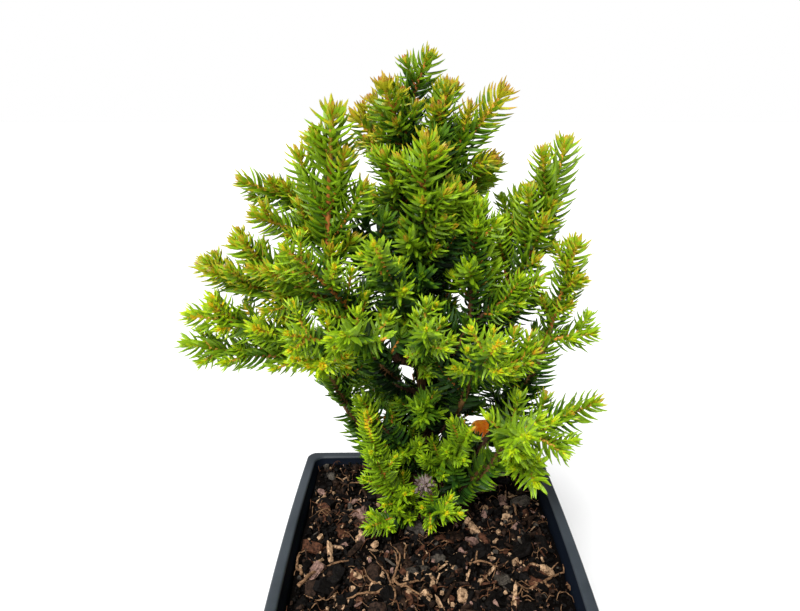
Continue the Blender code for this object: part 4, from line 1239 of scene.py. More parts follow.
def make_dry_leaf():
    """A curled dry leaf on a thin stalk that stands in the compost.

    The blade is a strip bent round an upright axis: its half width follows the root of a sine
    from foot to tip, and its edges curl towards each other.  It spreads and leans a little
    back towards its tip, where one edge rises above the other.
    """
    rise = np.linspace(0, 1, 16)[:, None]
    across = np.linspace(-1, 1, 15)[None, :]
    half = LEAF_HALF * np.sqrt(np.sin(math.pi * (0.05 + 0.88 * rise)))
    curl = across * LEAF_CURL
    x = LEAF_FOOT[0] + half * np.sin(curl) + LEAF_SPREAD * rise ** 2 * across
    y = LEAF_FOOT[1] - half * 0.8 * np.cos(curl) + LEAF_LEAN * rise
    z = LEAF_LOW + (LEAF_HIGH - LEAF_LOW) * rise + LEAF_TWIST * rise * across ** 3
    front = np.stack(np.broadcast_arrays(x, y, z), -1)
    back = front + np.array((0.0, LEAF_THICK, 0.0))
    ring = np.concatenate((front, back[:, ::-1]), 1)
    foot = compost_height(np.array([LEAF_FOOT[0]]), np.array([LEAF_FOOT[1]]))[0]
    lift = np.linspace(foot - 0.002, LEAF_LOW + 0.0012, STALK_RINGS)
    sway = STALK_SWAY * np.sin(np.linspace(0, math.pi, STALK_RINGS))
    line = np.stack((LEAF_FOOT[0] + sway, LEAF_FOOT[1] - STALK_FRONT + 0.5 * sway, lift), -1)
    stalk = closed_skin(tube_grid(line, np.full(STALK_RINGS, STALK_RADIUS), 8))
    joined = Joined()
    joined.add(closed_skin(ring), 0, 0)
    joined.add(stalk, 1, 1)
    # The blade's own orange brown is painted far lighter, near full strength in red, as painted
    # light that makes up for the crown's shade over it; the subsurface lets light through the thin
    # blade.
    blade = chip_finish("leaf_brown_painted_light", (0.900, 0.210, 0.028), (1.000, 0.400, 0.070), 0.5)
    shader = blade.node_tree.nodes["Principled BSDF"]
    shader.inputs["Subsurface Weight"].default_value = 0.8
    shader.inputs["Subsurface Radius"].default_value = (0.002, 0.001, 0.0005)
    shader.inputs["Subsurface Scale"].default_value = 1.0
    leaf = joined.piece("dry_leaf", [
        blade,
        chip_finish("leaf_stalk", (0.020, 0.013, 0.010), (0.080, 0.055, 0.040), 0.6),
    ])


# ---- bark of the trunk and boughs

BARK_SQUEEZE = 0.22  # the relief is drawn out along the limb by this
PLATE_CELL = 0.0011
FIBRE_CELL = 0.0005
KNOT_CELL = 0.0035
TRUNK_RELIEF = (30, 0.13, 41)  # points round the trunk, depth of its relief and seed
TRUNK_RINGS = 420
TRUNK_CROWDING = 1.2  # over 1, the rings are closer at the foot
OLD_RINGS = 190  # rings of old bark before the young bark
TRUNK_SUNK = 0.0014  # how far the skin's foot goes into the compost
BOUGH_SIDES = 14
BOUGH_RELIEF = 0.14
BOUGH_RINGS = 90
OLD_BOUGH_RINGS = 40


def rough_tube(path, radii, sides, depth, seed):
    """A limb's bark: a tube whose radius swells and sinks in narrow upright plates.

    The relief is smooth noise read at points squeezed along the limb, so that its cracks
    run lengthwise; its depth grows with the limb's radius.
    """
    grid = tube_grid(path, radii, sides)
    axis = path[:, None, :]
    outward = grid - axis
    reach = np.linalg.norm(outward, axis=2, keepdims=True)
    stretched = grid * np.array((1.0, 1.0, BARK_SQUEEZE))
    plates = np.abs(smooth_noise(stretched, PLATE_CELL, seed)) * 2 - 0.6
    fibres = smooth_noise(stretched, FIBRE_CELL, seed + 1) * 0.5
    knots = np.clip(smooth_noise(grid, KNOT_CELL, seed + 2) - 0.35, 0, 1) * 1.6
    relief = (plates + fibres + knots)[..., None] * depth * reach
    return closed_skin(axis + outward / reach * (reach + relief))


def make_trunk():
    """The trunk, from just under the compost to its tip."""
    heights = TRUNK_HEIGHT * np.linspace(0, 1, TRUNK_RINGS) ** TRUNK_CROWDING
    path = np.array([trunk_point(height) for height in heights])
    radii = np.array([trunk_radius(height) for height in heights])
    path[0, 2] -= TRUNK_SUNK
    skin = rough_tube(path, radii, *TRUNK_RELIEF)
    sides = TRUNK_RELIEF[0]
    tones = np.repeat(np.arange(len(path) - 1) > OLD_RINGS, sides).astype(int)
    materials = [
        bark_finish("trunk_bark", (0.020, 0.010, 0.007), (0.085, 0.038, 0.020),
                    (0.20, 0.105, 0.058), 0.12),
        bark_finish("young_bark", (0.040, 0.020, 0.008), (0.150, 0.072, 0.022),
                    (0.32, 0.17, 0.05), 0.2),
    ]
    tones = np.concatenate((tones, np.repeat((0, 1), sides)))
    trunk = new_piece("trunk_bark", *skin, materials, tones)
    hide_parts("trunk")
    return materials


def make_boughs(paths, materials):
    """Every bough with its bark, rooted in the trunk's heart, as one mesh."""
    joined = Joined()
    for number, path in enumerate(paths.values()):
        fine = finer(path, BOUGH_RINGS)
        share = np.linspace(0, 1, BOUGH_RINGS)
        radii = BOUGH_FOOT_RADIUS + (BOUGH_TIP_RADIUS - BOUGH_FOOT_RADIUS) * share
        radii[-1] *= 0.5
        skin = rough_tube(fine, radii, BOUGH_SIDES, BOUGH_RELIEF, 50 + 3 * number)
        young = np.arange(BOUGH_RINGS - 1) > OLD_BOUGH_RINGS
        joined.add(skin, np.repeat(young, BOUGH_SIDES).astype(int), np.repeat((0, 1), BOUGH_SIDES))
    boughs = joined.piece("bough_bark", materials)
    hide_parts(*paths)


# ---- finer growth

FINE_SIDES = 6  # more side shoots tried on each leading shoot
FINE_REACH = 0.85  # their length beside the mass's own
FINE_ROOM = 0.0011  # air round them
TWIG_SIDES = 2  # twigs tried on each long side shoot
TWIG_REACH = 0.0055
LONG_SIDE = 0.0075  # a side shoot this long bears twigs
PATH_STEP = 0.0008  # between two rings of a fine shoot
FINE_PLACES = (0.10, 0.84)  # where they start on their stem, and the share they stand on
FINE_SCATTER = (0.7, 1.0)  # random share of their length
LEAD_RADIUS = 0.00078  # of a mass's leading shoot
SECOND_RADIUS = 0.00050  # of a side shoot
TWIG_RADIUS = 0.00036
SHORT_RADIUS = 0.00046  # of a short shoot on a limb
SECOND_SCALE = 0.90  # size of a side shoot's needles, beside the leading shoot's
TWIG_SCALE = 0.76
PLACED_SCALE = 0.82
PARTED_SIDE = -0.60  # a parted stem has no side shoots that point more forward
LANE_SHARE = 0.3  # a side shoot with this much of it in a lane is left out

# Masses that differ from the rest.  spacing: how far apart their needles stand, beside the
# others.  radius: of a stouter leading shoot.  bright: how much lighter its needles are painted
# down to the root, as painted light against the shade there.  fine: how many finer side shoots
# it tries, where shoots stand out as stars.
# parted: its needles part in front and show the stem.
HABITS = {
    "left_leader": {"spacing": 0.95, "radius": 0.00105, "fine": 4, "parted": True},
    "left_low_front": {"spacing": 1.25, "fine": 2},
    "front_left_up": {"spacing": 1.25},
    "front_left_out": {"spacing": 1.30, "fine": 3},
    "front_left_star": {"spacing": 1.35, "fine": 2},
    "front_star_left": {"spacing": 1.30, "fine": 2},
    "front_stars": {"spacing": 1.45, "fine": 2},
    "centre_upper": {"bright": 0.18},
    "right_mid_up": {"fine": 3},
    "right_front_stars": {"spacing": 1.45, "fine": 2},
    "right_low_star": {"spacing": 1.50, "bright": 0.12, "fine": 0},
    "right_low_edge": {"spacing": 1.20, "fine": 1, "parted": True},
    "foot_left": {"spacing": 0.80, "radius": 0.00085, "bright": 0.34},
    "foot_front_left": {"fine": 2},
    "foot_front": {"fine": 2},
    "low_arm": {"spacing": 0.80, "bright": 0.30},
}


def finer(path, count):
    """The same quadratic curve, read at more points: its middle is found from one inner point."""
    share = 1 / (len(path) - 1)
    pull = path[1] - (1 - share) ** 2 * path[0] - share ** 2 * path[-1]
    middle = pull / (2 * share * (1 - share))
    return bend(path[0], middle, path[-1], np.linspace(0, 1, count))


def fits_finely(path, room, air):
    """True where a fine shoot is clear of the ground and of every stick beyond its root."""
    if any(inside_ground(point) for point in path):
        return False
    for start, end in zip(path[2:], path[3:]):
        if room.gaps(start, end, (SIDE_RADIUS, SIDE_RADIUS)).min() < air:
            return False
    return unit(path[-1] - path[0])[2] > SIDE_DROOP


def fine_sides(stem, count, longest, room, dice, owner):
    """More side shoots between the first ones."""
    found = []
    for path in try_sides(stem, count, longest, FINE_PLACES, FINE_SCATTER, dice,
                          lambda path: fits_finely(path, room, FINE_ROOM)):
        room.add_path(path[1:], (SIDE_RADIUS,) * len(path[1:]), owner)
        found.append(path)
    return found


def limb_anchor(row, limb_ends):
    """The point inside its limb that a mass's leading shoot grows from."""
    if row[2] is None:
        return limb_ends[row[1]][0]
    return trunk_point(row[2])


class Shoot:
    """One shoot: its fine path, root radius, and its needles' look, size and spacing.

    Its needles may part in front, and a lift paints them lighter down to its root, as painted light
    against the shade there.
    """

    def __init__(self, path, radius, look, scale, spacing=1.0, parted=False, lift=0.0):
        """A shoot is only these values."""
        self.path = path
        self.radius = radius
        self.look = look
        self.scale = scale
        self.spacing = spacing
        self.parted = parted
        self.lift = lift


def fine_path(path):
    """A shoot's curve at rings a fixed step apart."""
    length = np.linalg.norm(np.diff(path, axis=0), axis=1).sum()
    return finer(path, max(6, int(length / PATH_STEP)))


def look_of(row):
    """A mass's look: the piece its needles are joined to, their palette and their size."""
    return row[8:]


def mass_shoots(owner, stem, sides, limb_ends, room, dice):
    """One mass's shoots: the leading one, its side shoots, finer ones between them, and twigs."""
    row = MASSES[owner]
    habit = HABITS.get(row[0], {})
    look = look_of(row)
    spacing = habit.get("spacing", 1.0)
    parted = habit.get("parted", False)
    whole = np.vstack((limb_anchor(row, limb_ends), fine_path(stem)))
    radius = habit.get("radius", LEAD_RADIUS)
    shoots = [Shoot(whole, radius, look, 1.0, spacing, parted, habit.get("bright", 0.0))]
    seconds = [path for path, _ in sides]
    tries = habit.get("fine", FINE_SIDES)
    seconds += fine_sides(stem, tries, row[7] * FINE_REACH, room, dice, owner)
    if parted:
        seconds = [path for path in seconds if unit(path[-1] - path[0])[1] > PARTED_SIDE]
    starry = "fine" in habit
    for path in seconds:
        scale = 1.0 if starry else SECOND_SCALE
        shoots.append(Shoot(fine_path(path), SECOND_RADIUS, look, scale, spacing))
        if np.linalg.norm(path[-1] - path[0]) > LONG_SIDE and not starry:
            for twig in fine_sides(path, TWIG_SIDES, TWIG_REACH, room, dice, owner):
                shoots.append(Shoot(fine_path(twig), TWIG_RADIUS, look, TWIG_SCALE, spacing))
    return shoots


def grow_shoots(paths, limb_ends):
    """Every shoot of every mass: the leading ones, their side shoots and the finer twigs.

    Side shoots that lie in a clear lane are left out; the leading ones stay.
    """
    stems, sides = plan_shoots(paths, limb_ends, random.Random(SEED))
    room = limb_room(paths)
    for owner, stem in enumerate(stems):
        room.add_path(stem, stem_radii(len(stem)), owner)
        for path, radii in sides[owner]:
            room.add_path(path[1:], radii[1:], owner)
    shoots = []
    for owner, stem in enumerate(stems):
        dice = random.Random(SEED + 100 + owner)
        shoots += mass_shoots(owner, stem, sides[owner], limb_ends, room, dice)
    shoots += placed_sides(stems) + inner_shoots(paths, room, dice)
    return [shoot for shoot in shoots
            if shoot.radius > SIDE_RADIUS or in_lane(shoot.path).mean() < LANE_SHARE]


# Side shoots with a place of their own: mass, share along its leading shoot, heading, rise,
# length
PLACED_SIDES = (
    ("left_leader", 0.50, 196, 64, 0.0164),
    ("left_leader", 0.36, 344, 50, 0.0171),
    ("left_leader", 0.55, 317, 60, 0.0149),
    ("right_leader", 0.62, 217, 77, 0.0149),
    ("right_leader", 0.35, 231, 75, 0.0154),
    ("top_right_arm", 0.45, 330, 69, 0.0112),
    ("top_right_arm", 0.30, 347, 1, 0.0133),
    ("top_right", 0.50, 249, 47, 0.0078),
    ("top_leader", 0.35, 208, 40, 0.0083),
    ("top_left", 0.30, 192, 42, 0.0129),
    ("left_out", 0.75, 199, 25, 0.0100),
    ("left_out", 0.60, 231, 28, 0.0117),
    ("left_low_up", 0.70, 212, 43, 0.0103),
    ("left_low_out", 0.80, 198, -37, 0.0083),
    ("right_out_up", 0.60, 330, 19, 0.0063),
    ("left_up", 0.55, 198, 36, 0.0079),
    ("upper_right", 0.60, 0, 36, 0.0109),
    ("right_low_edge", 0.60, 0, -16, 0.0110),
    ("right_mid_up", 0.60, 236, 76, 0.0147),
    ("right_mid_out", 0.40, 325, 47, 0.0102),
    ("centre_upper", 0.50, 332, 40, 0.0112),
)


WITHERED_SHOOT = (268, 22, 0.0205)  # heading, rise and length of the dead tuft
WITHERED_HEIGHT = 0.012
WITHERED_LOOK = ("foot", "withered", 0.55)


def placed_sides(stems):
    """The side shoots that have a place of their own, and the withered tuft at the foot."""
    owners = {row[0]: owner for owner, row in enumerate(MASSES)}
    found = []
    for mass, share, heading, rise, length in PLACED_SIDES:
        owner = owners[mass]
        root = finer(stems[owner], 101)[round(100 * share)]
        path = fine_path(inner_path(root, heading, rise, length))
        found.append(Shoot(path, SECOND_RADIUS, look_of(MASSES[owner]), PLACED_SCALE))
    withered = fine_path(inner_path(trunk_point(WITHERED_HEIGHT), *WITHERED_SHOOT))
    found.append(Shoot(withered, SHORT_RADIUS, WITHERED_LOOK, 1.0))
    return found


# Clear lanes through the crown, seen from the front: the x and z of both ends where they pass
# the middle of the pot, and their half width.  The eye is where they are seen from.
FRONT_EYE = np.array((-0.0068, -0.1658, 0.2204))
LANES = (
    ((-0.0135, 0.1563), (-0.0036, 0.1413), 0.0016),
    ((0.0055, 0.1736), (0.0077, 0.1661), 0.0010),
    ((0.0099, 0.1332), (0.0134, 0.1271), 0.0014),
    ((0.0146, 0.1280), (0.0156, 0.1262), 0.0027),
    ((0.0175, 0.1217), (0.0207, 0.1193), 0.0012),
    ((0.0250, 0.1635), (0.0282, 0.1568), 0.0009),
    ((0.0310, 0.1814), (0.0326, 0.1706), 0.0010),
    ((-0.0186, 0.1893), (-0.0148, 0.1867), 0.0011),
    ((-0.0466, 0.1592), (-0.0449, 0.1586), 0.0012),
    ((-0.0149, 0.1330), (-0.0131, 0.1228), 0.0012),
    ((-0.0332, 0.1372), (-0.0266, 0.1186), 0.0032),
    ((-0.0582, 0.1438), (-0.0377, 0.1420), 0.0022),
)


def in_lane(points):
    """True for each point that lies in one of the clear lanes, as seen from the front."""
    share = -FRONT_EYE[1] / (points[:, 1] - FRONT_EYE[1])
    seen = (FRONT_EYE + (points - FRONT_EYE) * share[:, None])[:, (0, 2)]
    inside = np.zeros(len(points), dtype=bool)
    for start, end, half in LANES:
        along = np.subtract(end, start)
        part = np.clip((seen - start) @ along / (along @ along), 0, 1)
        inside |= np.linalg.norm(seen - start - part[:, None] * along, axis=1) < half
    return inside


INNER = -2  # the mass number of shoots that sit on the limbs themselves
TRUNK_SHOOTS = 26
BOUGH_SHOOTS = 6
INNER_REACH = 0.017
INNER_SCATTER = (0.75, 1.15)  # random share of their length
INNER_RISE = (15, 55)
INNER_SHRINK = 0.04  # each try is this much shorter
BOUGH_SCALE = 0.8  # length of those on a bough, beside the trunk's
TRUNK_BARE = 0.16  # share of the trunk below the first, and the span they stand on
TRUNK_CLOTHED = 0.78
INNER_POINTS = 7
SLEEVE_START = 8  # a bough's first rings bear no needles
SLEEVE_SPACING = 0.62
TRUNK_SLEEVE = (0.010, 150)  # lowest height of the trunk's own needles, and its rings
TRUNK_THINNER = 0.8  # their root radius, size and spacing, beside the full ones


def inner_path(root, heading, rise, length):
    """A short shoot that leaves a limb and curls up."""
    direction = heading_vector(heading, rise)
    end = root + direction * length + UP * length * SIDE_LIFT
    return bend(root, root + direction * length * 0.5, end, np.linspace(0, 1, INNER_POINTS))


def inner_shoots(paths, room, dice):
    """Short shoots on the trunk and boughs, wherever there is room for them."""
    found = []
    shares = [TRUNK_BARE + TRUNK_CLOTHED * index / TRUNK_SHOOTS for index in range(TRUNK_SHOOTS)]
    roots = [(trunk_point(TRUNK_HEIGHT * share), 1.0) for share in shares]
    for path in paths.values():
        roots += [(point, BOUGH_SCALE) for point in finer(path, BOUGH_SHOOTS + 2)[1:-1]]
    turn = 0.0
    for root, scale in roots:
        turn += GOLDEN_ANGLE
        for attempt in range(2 * TURN_TRIES):
            length = INNER_REACH * scale * dice.uniform(*INNER_SCATTER)
            length *= 1 - INNER_SHRINK * attempt
            path = inner_path(root, turn + attempt * TURN_STEP, dice.uniform(*INNER_RISE), length)
            if fits_finely(path, room, FINE_ROOM):
                room.add_path(path[1:], (SIDE_RADIUS,) * len(path[1:]), INNER)
                found.append(Shoot(fine_path(path), SHORT_RADIUS, INNER_LOOK, 1.0))
                break
    return found


def limb_sleeves(paths):
    """The limbs themselves as shoots, for the old needles that still stand on them."""
    sleeves = []
    for name, path in paths.items():
        look = LIMB_LOOKS.get(name, INNER_LOOK)
        clothed = fine_path(path)[SLEEVE_START:]
        sleeves.append(Shoot(clothed, BOUGH_FOOT_RADIUS, look, 1.0, SLEEVE_SPACING))
    lowest, rings = TRUNK_SLEEVE
    trunk = np.array([trunk_point(height) for height in np.linspace(lowest, TRUNK_HEIGHT, rings)])
    radius = TRUNK_FOOT_RADIUS * TRUNK_THINNER
    sleeves.append(Shoot(trunk, radius, INNER_LOOK, TRUNK_THINNER, TRUNK_THINNER))
    return sleeves


# ---- needles

INTERNODE = 0.049  # from one needle to the next, as a share of their length
RANK_TURN = 142.5  # round the shoot from one needle to the next
LONGEST_NEEDLE = 0.0090
NEEDLE_SLIMNESS = 0.196  # width of a needle as a share of its length
ROOT_ANGLE = 80  # of a needle from its shoot, at the shoot's root
MIDDLE_ANGLE = 72
TIP_ANGLE = 54
CURL = 44  # how far a needle turns back towards the shoot
BUD_NEEDLES = 10
HEART = 2.0  # the tint level that marks the needles of a bud's heart
CENTRE_NEEDLES = 5  # the last needles of a bud, which make its glowing heart

# How much lighter the needles of each part of the crown are painted at its surface than beside the
# trunk: partly their younger age, partly painted shade on the older needles deep inside.
AGE_AND_SHADE_BY_DEPTH = {
    "crown": 0.40, "upper": 0.40, "left_high": 0.37, "left_low": 0.32, "front": 0.17,
    "right_high": 0.38, "right_low": 0.22, "foot": 0.12, "low": 0.20, "rear_high": 0.37,
    "rear_low": 0.30, "inner": 0.30,
}
YOUNG_REACH = 0.013  # how far from a shoot's tip its needles are bright
NEEDLE_RINGS = (0.0, 0.30, 0.64, 0.88)
NEEDLE_WIDTHS = (0.86, 1.00, 0.76, 0.36)
NEEDLE_THICK = 0.62  # depth of a needle as a share of its width
NEEDLE_ROLL = 14  # how far a needle leans over on its own length
BARE_ROOT = 0.0016  # a shoot's root bears no needles
BUD_LENGTH = 0.0016
BUD_ANGLES = (1.0, 0.30)  # the bud's needles close up and shorten towards the last
BUD_LENGTHS = (0.95, 0.55)
ROOT_REACH = 0.009  # needles are shorter this far from the root
TIP_REACH = 0.0050  # and this far from the tip
TAPER_REACH = 0.016  # with a slow taper before it
ROOT_SHORTER = 0.30
TIP_SHORTER = 0.30
TAPER_SHORTER = 0.20
LENGTH_SCATTER = (0.92, 1.06)
WIDTH_SCATTER = (0.88, 1.12)
CURL_SCATTER = (0.6, 1.35)
TURN_SCATTER = 7  # of a needle's place round the shoot, in degrees
ANGLE_SCATTER = 3.0
TINT_SCATTER = 0.05
TIP_YOUTH = 0.64  # how young a shoot's last needles look
SHOOT_SLIMMING = 0.4  # how much thinner a shoot is at its tip
PARTED_FRONT = -0.86  # a parted shoot bears no needles that point more forward
PARTED_TIP = 0.009  # but this far from its tip it does
RIM_AIR = 0.0008  # least height of a needle's tip over the rim
INSIDE_AIR = 0.0006  # and over the compost, or from the pot's inner wall
LIMB_AIR = 0.0001  # and of its body from the limbs
NEEDLE_SHARP = 50  # edges that turn by more degrees than this look sharp
NEEDLE_GLOSS = (0.44, 0.34)  # roughness and gloss of a needle's waxy skin

TINTS = (
    ("night", (0.009, 0.030, 0.006)),
    ("deep", (0.026, 0.082, 0.008)),
    ("moss", (0.085, 0.190, 0.007)),
    ("leaf", (0.175, 0.305, 0.006)),
    ("lime", (0.275, 0.450, 0.007)),
    ("lemon", (0.480, 0.610, 0.010)),
    ("gold", (0.760, 0.560, 0.016)),
    ("amber", (0.620, 0.320, 0.018)),
    ("olive", (0.430, 0.410, 0.011)),
    ("bronze", (0.480, 0.310, 0.018)),
    ("rust", (0.420, 0.190, 0.026)),
    ("rose", (0.500, 0.350, 0.120)),
    ("umber", (0.110, 0.070, 0.052)),
    ("ash", (0.300, 0.230, 0.215)),
)
TINT_NUMBER = {name: number for number, (name, _) in enumerate(TINTS)}

# From the darkest needles, old ones and those darkened with painted shade deep in the crown, to the
# heart of the bud: the tints of their roots, bodies and points.
PALETTE_STEPS = (0.14, 0.32, 0.56, 0.80, 0.975)
PALETTES = {
    "bronze": ("deep moss leaf olive olive amber",
               "deep moss leaf leaf olive olive",
               "moss leaf leaf olive bronze rust"),
    "olive": ("deep moss leaf leaf olive amber",
              "deep moss leaf leaf lime olive",
              "moss leaf leaf lime olive bronze"),
    "lime": ("deep moss leaf lime lemon gold",
             "deep moss leaf leaf lime lemon",
             "moss leaf leaf lime lime lemon"),
    "gold": ("deep moss leaf lemon gold gold",
             "deep moss leaf leaf lime gold",
             "moss leaf lime lime lemon lemon"),
    "sand": ("deep moss leaf leaf olive amber",
             "deep moss leaf leaf lime olive",
             "moss leaf leaf olive olive rose"),
    "green": ("night deep moss leaf leaf lemon",
              "night deep moss leaf leaf lime",
              "deep moss moss leaf leaf lime"),
    "shade": ("night deep deep moss leaf leaf",
              "night deep deep moss leaf leaf",
              "night deep moss moss leaf leaf"),
    "withered": ("umber umber umber ash ash ash",
                 "umber ash ash ash ash umber",
                 "ash ash umber ash ash ash"),
}

# Needles that grow on the limbs themselves: their piece, palette and size.
INNER_LOOK = ("inner", "shade", 0.90)
LIMB_LOOKS = {
    "bough_left_low": ("inner", "lime", 0.85),
    "bough_front_left": ("inner", "green", 0.85),
    "bough_right": ("inner", "green", 0.95),
    "bough_right_low": ("inner", "lime", 0.85),
    "bough_right_upper": ("inner", "green", 0.85),
}


CROWN_HEIGHTS = (0.085, 0.130, 0.170, 0.225)
CROWN_REACHES = (0.024, 0.046, 0.050, 0.014)
BESIDE_TRUNK = 0.2  # share of the reach that counts as beside the trunk
OUTWARD_SPAN = 0.7  # share over which outness then grows from 0 to 1


def outness(points):
    """How far out in the crown points are: 0 beside the trunk, 1 at the crown's surface."""
    rise = np.clip(points[:, 2] - TRUNK_FOOT[2], 0, TRUNK_HEIGHT)
    middle = np.stack((TRUNK_FOOT[0] + TRUNK_LEAN * rise, np.full(len(rise), TRUNK_FOOT[1])), -1)
    away = np.linalg.norm(points[:, :2] - middle, axis=1)
    crown = np.interp(points[:, 2], CROWN_HEIGHTS, CROWN_REACHES)
    return np.clip((away - BESIDE_TRUNK * crown) / (OUTWARD_SPAN * crown), 0, 1)


def nearness(distance, reach):
    """How near: 1 at no distance, falling evenly to 0 at the reach and beyond."""
    return np.clip(1 - distance / reach, 0, 1)


def clothe(shoot, dice):
    """The needles of one shoot as columns, one number or direction for each needle.

    The columns are root, onward and outward direction, length, width, angle, the shoot's
    radius there, and tint level: the needles' youth, with painted shade on those deep in the
    crown and painted light where a mass has it.  The needles sit in a slow spiral at even
    steps.  They are longest at the middle of the shoot and lean forward more and more towards
    its tip, where a tuft of short ones closes the bud.
    """
    path = shoot.path
    steps = np.linalg.norm(np.diff(path, axis=0), axis=1)
    along = np.concatenate(((0.0,), np.cumsum(steps)))
    total = along[-1]
    longest = LONGEST_NEEDLE * shoot.scale * shoot.look[2]
    places = np.arange(BARE_ROOT, total, longest * INTERNODE * shoot.spacing)
    places = np.concatenate((places, total - np.linspace(BUD_LENGTH, 0.0, BUD_NEEDLES)))
    number = len(places)
    left = total - places
    tangent, first, second = side_frames(path)
    here = np.stack([np.interp(places, along, path[:, axis]) for axis in range(3)], -1)
    index = np.clip(np.searchsorted(along, places), 1, len(path) - 1)
    onward, first, second = tangent[index], first[index], second[index]
    first_turn = dice.uniform(0, 360)
    turn = np.arange(number) * RANK_TURN + first_turn + dice.normal(0, TURN_SCATTER, number)
    turn = np.radians(turn)
    outward = first * np.cos(turn)[:, None] + second * np.sin(turn)[:, None]
    near_tip = nearness(left, TIP_REACH)
    near_root = nearness(places, ROOT_REACH)
    length = longest * (1 - ROOT_SHORTER * near_root) * (1 - TIP_SHORTER * near_tip)
    length = length * (1 - TAPER_SHORTER * nearness(left, TAPER_REACH))
    length *= dice.uniform(*LENGTH_SCATTER, number)
    angle = MIDDLE_ANGLE + (ROOT_ANGLE - MIDDLE_ANGLE) * near_root
    angle = angle - (MIDDLE_ANGLE - TIP_ANGLE) * near_tip
    angle = angle + dice.normal(0, ANGLE_SCATTER, number)
    angle[-BUD_NEEDLES:] *= np.linspace(*BUD_ANGLES, BUD_NEEDLES)
    length[-BUD_NEEDLES:] *= np.linspace(*BUD_LENGTHS, BUD_NEEDLES)
    width = NEEDLE_SLIMNESS * (0.4 * longest + 0.6 * length) * dice.uniform(*WIDTH_SCATTER, number)
    radius = shoot.radius * (1 - SHOOT_SLIMMING * (places / total))
    # Tint level: young near the tip, and lighter towards the crown's surface, partly for age and
    # partly as painted shade on the needles deep inside.
    tint_level = TIP_YOUTH * nearness(left, YOUNG_REACH) + AGE_AND_SHADE_BY_DEPTH[shoot.look[0]] * outness(here)
    # Painted light: the shoot's lift makes its needles lighter down to the root, against the shade
    # there.
    tint_level = tint_level + shoot.lift
    tint_level[-CENTRE_NEEDLES:] = HEART
    columns = (here, onward, outward, length, width, angle, radius, tint_level)
    if not shoot.parted:
        return columns
    parted = (outward[:, 1] < PARTED_FRONT) & (left > PARTED_TIP)
    return tuple(column[~parted] for column in columns)


def needle_middles(root, onward, outward, length, angle, curl, shares):
    """Points along every needle's middle line, and the way its upper side faces.

    The line is an arc that leaves the shoot at the angle and turns by the curl.
    """
    turned = angle[:, None] - curl[:, None] * shares[None, :]
    reach = (length / curl)[:, None]
    forward = reach * (np.sin(angle)[:, None] - np.sin(turned))
    away = reach * (np.cos(turned) - np.cos(angle)[:, None])
    points = root[:, None, :] + onward[:, None, :] * forward[..., None]
    points = points + outward[:, None, :] * away[..., None]
    normal = (outward[:, None, :] * np.cos(turned)[..., None]
              - onward[:, None, :] * np.sin(turned)[..., None])
    return points, normal


def needle_points(root, onward, outward, length, width, angle, radius, dice):
    """Every needle's points: a slim four-edged awl round its middle line, closed at both ends.

    Each ring is a flattened diamond.  Its width swells a little past the root, which is sunk
    in the shoot, and runs out to the point.
    """
    number = len(root)
    curl = np.radians(CURL * dice.uniform(*CURL_SCATTER, number))
    side = np.cross(onward, outward)
    roll = np.radians(dice.normal(0, NEEDLE_ROLL, number))[:, None, None]
    seat = root + outward * (radius * 0.5)[:, None]
    shares = np.array((*NEEDLE_RINGS, 1.0))
    middles, normal = needle_middles(seat, onward, outward, length, np.radians(angle), curl, shares)
    half = width[:, None] * np.array(NEEDLE_WIDTHS)[None, :] / 2
    rings = middles[:, :-1]
    flat, edge = side[:, None, :], normal[:, :-1]
    across = (flat * np.cos(roll) + edge * np.sin(roll)) * half[..., None]
    upper = (edge * np.cos(roll) - flat * np.sin(roll)) * (half * NEEDLE_THICK)[..., None]
    grid = np.stack((rings + across, rings + upper * 0.8, rings - across, rings - upper * 1.2), 2)
    return np.concatenate((grid.reshape(number, -1, 3), middles[:, -1:]), 1)


def needle_faces(number):
    """Faces of many needles: rings of four, a point at the tip and a closed root."""
    rings = len(NEEDLE_RINGS)
    quads = np.concatenate((grid_faces(rings, 4), ((3, 2, 1, 0),)))
    last = np.arange(4) + (rings - 1) * 4
    thirds = fan_faces(last, rings * 4, False)
    step = rings * 4 + 1
    return repeated(quads, number, step), repeated(thirds, number, step)


def needle_tones(root, body, point):
    """A tint for each face: the root's on the first band, the point's on the last and the tip."""
    rings = len(NEEDLE_RINGS)
    bands = np.repeat(body[:, None], rings * 4 - 3, axis=1)
    bands[:, :4] = root[:, None]
    bands[:, (rings - 2) * 4:(rings - 1) * 4] = point[:, None]
    return bands.ravel(), np.repeat(point, 4)


def tints_for(look, tint_level, dice):
    """Each needle's three tints by its tint level on the mass's palette, with a little scatter."""
    place = np.clip(tint_level + dice.normal(0, TINT_SCATTER, len(tint_level)), 0, PALETTE_STEPS[-1])
    place = np.where(tint_level == HEART, 1.0, place)
    step = np.searchsorted(PALETTE_STEPS, place)
    parts = [[TINT_NUMBER[name] for name in part.split()] for part in PALETTES[look[1]]]
    return [np.array(part)[step] for part in parts]


def stick_gaps(points, starts, ends, radii):
    """Air between each point and the nearest of many tapered sticks."""
    along = ends - starts
    share = np.einsum("nmk,mk->nm", points[:, None] - starts[None], along)
    share = np.clip(share / np.einsum("mk,mk->m", along, along), 0, 1)
    nearest = starts[None] + share[..., None] * along[None]
    width = radii[:, 0] + (radii[:, 1] - radii[:, 0]) * share
    return (np.linalg.norm(points[:, None] - nearest, axis=2) - width).min(axis=1)


